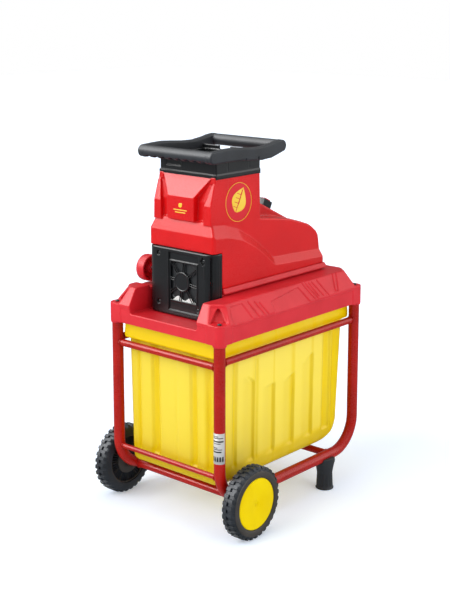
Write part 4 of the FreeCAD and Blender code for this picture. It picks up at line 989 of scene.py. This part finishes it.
def knob():
    """Round knob: smooth cup with a hollow face towards the body."""
    profile = [
        (-169.0, 0.02), (-169.0, 25.0), (-167.6, 30.0), (-164.6, 33.0), (-160.0, 34.0), (-144.0, 34.0),
        (-140.4, 33.2), (-139.4, 31.5), (-139.4, 29.6), (-141.0, 28.8), (-161.0, 28.8), (-162.6, 27.0),
        (-162.6, 12.2), (-140.0, 12.0), (-140.0, 6.05), (-163.0, 6.05), (-163.0, 0.02),
    ]
    made = creased(outward(piece("knob_cup", *lathe(profile, (KNOB_Y, KNOB_Z), 96), "knob", "hood_red")), 40)
    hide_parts("anvil_knob")


def screw_head(at, axis, radius, rise):
    """Round screw head with a cross recess."""
    f = Field((-radius, -radius, -0.2), (radius, radius, rise), 0.3)
    dome = np.sqrt(f.x**2 + f.y**2 + (f.z + radius * 1.6 - rise) ** 2) - radius * 1.6
    f.d[...] = soft_max(rod(f, "z", (0.0, 0.0), radius, 0, rise, 0.3), dome, 0.4)
    for u, v in ((f.x, f.y), (f.y, f.x)):
        f.cut(np.maximum(np.maximum(np.abs(u) - 0.55, np.abs(v) - radius * 0.6), rise - 1.5 - f.z))
    points, faces = skin(f)
    if axis == "y":
        points = np.stack([points[:, 0], -points[:, 2], points[:, 1]], 1)
    return points + np.array(at), faces


def screws():
    """The four screws on the hood and the four on the cover."""
    heads = [screw_head((x, y, HOOD_EDGE + 0.2), "z", 5.5, 3.8) for x, y in POSTS]
    moulded_screws("hood_screw_heads", heads, "hood_screws")
    heads = [screw_head((x, -220.9, z), "y", 4.4, 1.6) for x, z in COVER_HOLES]
    moulded_screws("cover_screw_heads", heads, "cover_screws")


def moulded_screws(name, heads, node):
    """One piece from several screw heads."""
    made = thinned(piece(name, *joined(heads), "frame", "button_black"), 0.35)
    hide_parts(node)


def latch():
    """Sliding catch with a ribbed thumb ledge."""
    f = Field((-22.5, 286.7, 500.5), (22.5, 295.6, 545.2), 0.8)
    f.d[...] = block(f, -22, 22, 286.8, 290, 501, 545, 1.4)
    f.add(block(f, -22, 22, 287, 295.5, 535, 545, 1.8), 1.2)
    for k in range(4):
        z = 507 + 6.5 * k
        f.add(bar(f, (-15, 289.9, z), (15, 289.9, z), 1.3), 0.8)
    made = moulded("latch_catch", f, "latch", "black_plastic", 0.4)
    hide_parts("box_latch")


def leaf(centre, size, tilt):
    """Outline of a pointed leaf in a flat plane."""
    points = []
    for k in range(32):
        t = min(k, 32 - k) / 16
        w = math.copysign(0.6, 16.5 - k) * math.sin(math.pi * t**0.8)
        points.append((w, t * 1.5 - 0.62))
    c, s = math.cos(tilt), math.sin(tilt)
    return [(centre[0] + size * (c * u - s * v), centre[1] + size * (s * u + c * v)) for u, v in points]


def emblem(name, side):
    """Round badge on the tower's side: yellow ring, red field and a plain leaf."""
    cy, cz = -112.0, 794.0
    parts = {}
    f = Field((-1.2, cy - 49, cz - 49), (1.0, cy + 49, cz + 49), 0.55)
    f.d[...] = rod(f, "x", (cy, cz), 46.0, -1.0, 0.35, 0.3)
    parts["field"] = (f, "button_red")
    f = Field((-1.2, cy - 49, cz - 49), (1.2, cy + 49, cz + 49), 0.55)
    f.d[...] = np.maximum(rod(f, "x", (cy, cz), 48.0, -1.0, 0.9, 0.3), -rod(f, "x", (cy, cz), 46.8, -3, 3))
    f.add(slab(outline(leaf((cy, cz), 44, -0.5), f.y, f.z), f.x, -0.6, 0.8, 0.3))
    f.cut(bar(f, (0.8, cy - 12, cz - 24), (0.8, cy + 14, cz + 28), 1.2))
    for k in range(4):
        y, z = cy - 6 + 5 * k, cz - 13 + 10 * k
        f.cut(bar(f, (0.8, y, z), (0.8, y - 14, z + 5), 0.9))
        f.cut(bar(f, (0.8, y, z), (0.8, y + 9, z + 14), 0.9))
    parts["mark"] = (f, "emblem_yellow")
    for key, (f, slot) in parts.items():
        points, faces = skin(f)
        points[:, 0] = side * (np.interp(points[:, 2], *TOWER_HALF) + 0.1 + points[:, 0])
        made = thinned(outward(piece("emblem_%s_%s" % (key, name), points, faces, "frame", slot)), 0.3)
        if key == "field":
            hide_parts("emblem_" + name)


def badge():
    """Small plain mark on the tower's front block: a leaf over two bars."""
    f = Field((-30, -220.2, 766), (30, -219, 800), 0.45)
    f.d[...] = slab(outline(leaf((0, 789), 9.5, -0.9), f.x, f.z), f.y, -220.0, -219.0, 0.3)
    for z, half in ((777.5, 22), (771.5, 17)):
        f.add(block(f, -half, half, -219.9, -219.0, z - 1.3, z + 1.3, 0.4))
    made = thinned(piece("badge_mark", *skin(f), "frame", "emblem_yellow"), 0.4)
    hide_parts("badge_plate")


def label():
    """Wrap-round sticker on the near post, with plain bars in place of printing."""
    def sheet(a0, a1, z0, z1, r0, r1, steps):
        """Curved strip round the post between two angles, heights and radii."""
        points = []
        for i in range(steps + 1):
            a = math.radians(a0 + (a1 - a0) * i / steps)
            for r, z in ((r0, z0), (r1, z0), (r1, z1), (r0, z1)):
                points.append((POST_X + r * math.sin(a), -POST_Y - r * math.cos(a), z))
        faces = woven(steps + 1, 4, False)
        faces.append((0, 1, 2, 3))
        e = steps * 4
        faces.append((e + 3, e + 2, e + 1, e))
        return points, faces

    paper = sheet(-52, 100, 195, 271, 14.05, 14.4, 40)
    made = outward(piece("label_sheet", *paper, "frame", "label_white"))
    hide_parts("post_label")
    bars = []
    lines = ((264, 1.0, -40, 30), (260, 1.0, -40, 78), (252, 1.8, -40, 82), (246.5, 0.9, -40, 50),
             (236, 1.0, -40, 20), (232, 1.0, -40, 66), (226, 1.8, -40, 60))
    for z, high, a0, a1 in lines:
        bars.append(sheet(a0, a1, z - high, z + high, 14.38, 14.55, 18))
    for k in range(5):
        a = -40 + 26 * k
        bars.append(sheet(a, a + 18, 202, 214, 14.38, 14.55, 5))
    outward(piece("label_bars", *joined(bars), "frame", "button_black"))


def welds():
    """Weld beads where the bars and tubes meet the posts."""
    beads = []
    off = 14.6
    for y, z, radius in ((-POST_Y, 428, 9), (-POST_Y, 155, 6.5), (172.0, 86, 9), (AXLE_Y, 90, 11)):
        for side in (-1, 1):
            beads.append(bead((side * (POST_X - off), y, z), "x", radius + 1.2))
    for sx in (-1, 1):
        for sy in (-1, 1):
            beads.append(bead((sx * POST_X, sy * (POST_Y - off), 438), "y", 10.2))
    outward(piece("weld_beads", *joined(beads), "frame", "frame_red"))


def bead(centre, axis, radius, thick=1.7):
    """Rippled ring of weld metal."""
    points = []
    steps, sides = 48, 8
    for i in range(steps):
        a = 2 * math.pi * i / steps
        swell = thick * (1 + 0.22 * math.sin(11 * a) + 0.1 * math.sin(5 * a))
        for j in range(sides):
            b = 2 * math.pi * j / sides
            r, h = radius + swell * math.cos(b) * 0.7, swell * math.sin(b)
            u, v = r * math.cos(a), r * math.sin(a)
            offset = (h, u, v) if axis == "x" else (u, h, v)
            points.append(tuple(c + o for c, o in zip(centre, offset)))
    return points, woven(steps, sides)


def chamber_lip():
    """Pale wavy lip seen through the bottom of the cover's window."""
    f = Field((-31, -221.6, 550), (57, -218.6, 572), 0.7)
    wave = 559.5 + 5.0 * np.cos((f.x - 13) * 0.152 + 3.1) - 0.0022 * (f.x - 13) ** 2
    f.d[...] = soft_max(block(f, -30, 56, -221.0, -218.9, 550.5, 580, 0.6), (f.z - wave) * 0.8, 0.8)
    moulded("chamber_lip", f, "frame", "capacitor_white", 0.5)


def carried_nodes():
    """Every CAD node takes its slot's material; pieces then take the place of some of them."""
    for name, node in NODES.items():
        node.data.materials.clear()
        node.data.materials.append(MATERIALS[SLOT_OF[name]])


# ---- stage ----
def placed(name, data, at, to):
    """Object in the scene, aimed from one point at another."""
    made = bpy.data.objects.new(name, data)
    bpy.context.scene.collection.objects.link(made)
    made.location = at
    made.rotation_euler = (Vector(to) - made.location).to_track_quat("-Z", "Y").to_euler()
    return made


def stage():
    """Floor, surrounding light, lamps and camera."""
    size = 14.0
    floor_mesh = bpy.data.meshes.new("floor")
    corners = [(-size, -size, 0), (size, -size, 0), (size, size, 0), (-size, size, 0)]
    floor_mesh.from_pydata(corners, [], [(0, 1, 2, 3)])
    floor = bpy.data.objects.new("floor", floor_mesh)
    bpy.context.scene.collection.objects.link(floor)
    ground = finish("floor", "E6F0FF", "E3EDFC", 0.9, 60, 0.0, Specular_IOR_Level=0.0)
    tree = ground.node_tree
    shader = tree.nodes["Principled BSDF"]
    shader.inputs["Emission Color"].default_value = (0.9, 0.95, 1.0, 1.0)
    shader.inputs["Emission Strength"].default_value = 0.3
    seen_by = add_node(tree, "LightPath")
    colour = shader.inputs["Base Color"]
    plain = colour.links[0].from_socket
    dark = (0.1, 0.1, 0.1, 1.0)
    tree.links.new(mixed(tree, "MIX", plain, dark, seen_by.outputs["Is Glossy Ray"]), colour)
    floor_mesh.materials.append(ground)

    world = bpy.data.worlds.new("studio")
    bpy.context.scene.world = world
    world.use_nodes = True
    tree = world.node_tree
    white = (1, 1, 1, 1)
    fill = tree.nodes["Background"]
    fill.inputs["Color"].default_value = white
    fill.inputs["Strength"].default_value = 0.55
    dim = add_node(tree, "Background", Color=white, Strength=0.25)
    seen = add_node(tree, "Background", Color=white, Strength=1.0)
    ray = add_node(tree, "LightPath")

    def either(kind, usual, other):
        """The usual light, or the other one for rays of one kind."""
        mix = add_node(tree, "MixShader", Fac=ray.outputs[kind])
        tree.links.new(usual, mix.inputs[1])
        tree.links.new(other.outputs["Background"], mix.inputs[2])
        return mix.outputs["Shader"]

    light = either("Is Camera Ray", either("Is Glossy Ray", fill.outputs["Background"], dim), seen)
    tree.links.new(light, tree.nodes["World Output"].inputs["Surface"])

    middle = (0, 0, 0.5)
    for name, at, spread, power in (
        ("key", (-1.2, -3.1, 3.0), 45, 1.75),
        ("side", (3.2, 0.3, 2.2), 45, 0.75),
        ("top", (0.2, 0.2, 3.4), 80, 0.55),
        ("shine_left", (-3.25, -3.4, 3.0), 32, 1.7),
        ("shine_high", (-3.25, -3.0, 5.4), 75, 6.0),
        ("shine_back", (2.1, 3.6, 3.1), 40, 0.7),
        ("shine_right", (3.25, 3.65, 0.7), 35, 0.7),
    ):
        lamp = bpy.data.lights.new(name, "SUN")
        lamp.angle = math.radians(spread)
        lamp.energy = power
        placed(name, lamp, at, middle).visible_diffuse = not name.startswith("shine")

    camera = bpy.data.cameras.new("camera")
    camera.lens = 72.3687
    camera.sensor_width = 36.0
    camera.shift_y = -0.146
    eye, target = (1.9748, -2.2971, 1.2837), (-0.0487, 0.0022, 0.7366)
    bpy.context.scene.camera = placed("camera", camera, eye, target)
    bpy.context.scene.view_settings.view_transform = "Standard"


def main():
    """Builds every piece, then the stage."""
    carried_nodes()
    hood()
    housing()
    cover()
    collar()
    ring()
    box()
    for name, side in (("left", -1), ("right", 1)):
        wheel(name, side)
        foot(name, side)
        emblem(name, side)
    knob()
    screws()
    latch()
    badge()
    label()
    welds()
    chamber_lip()
    stage()


main()
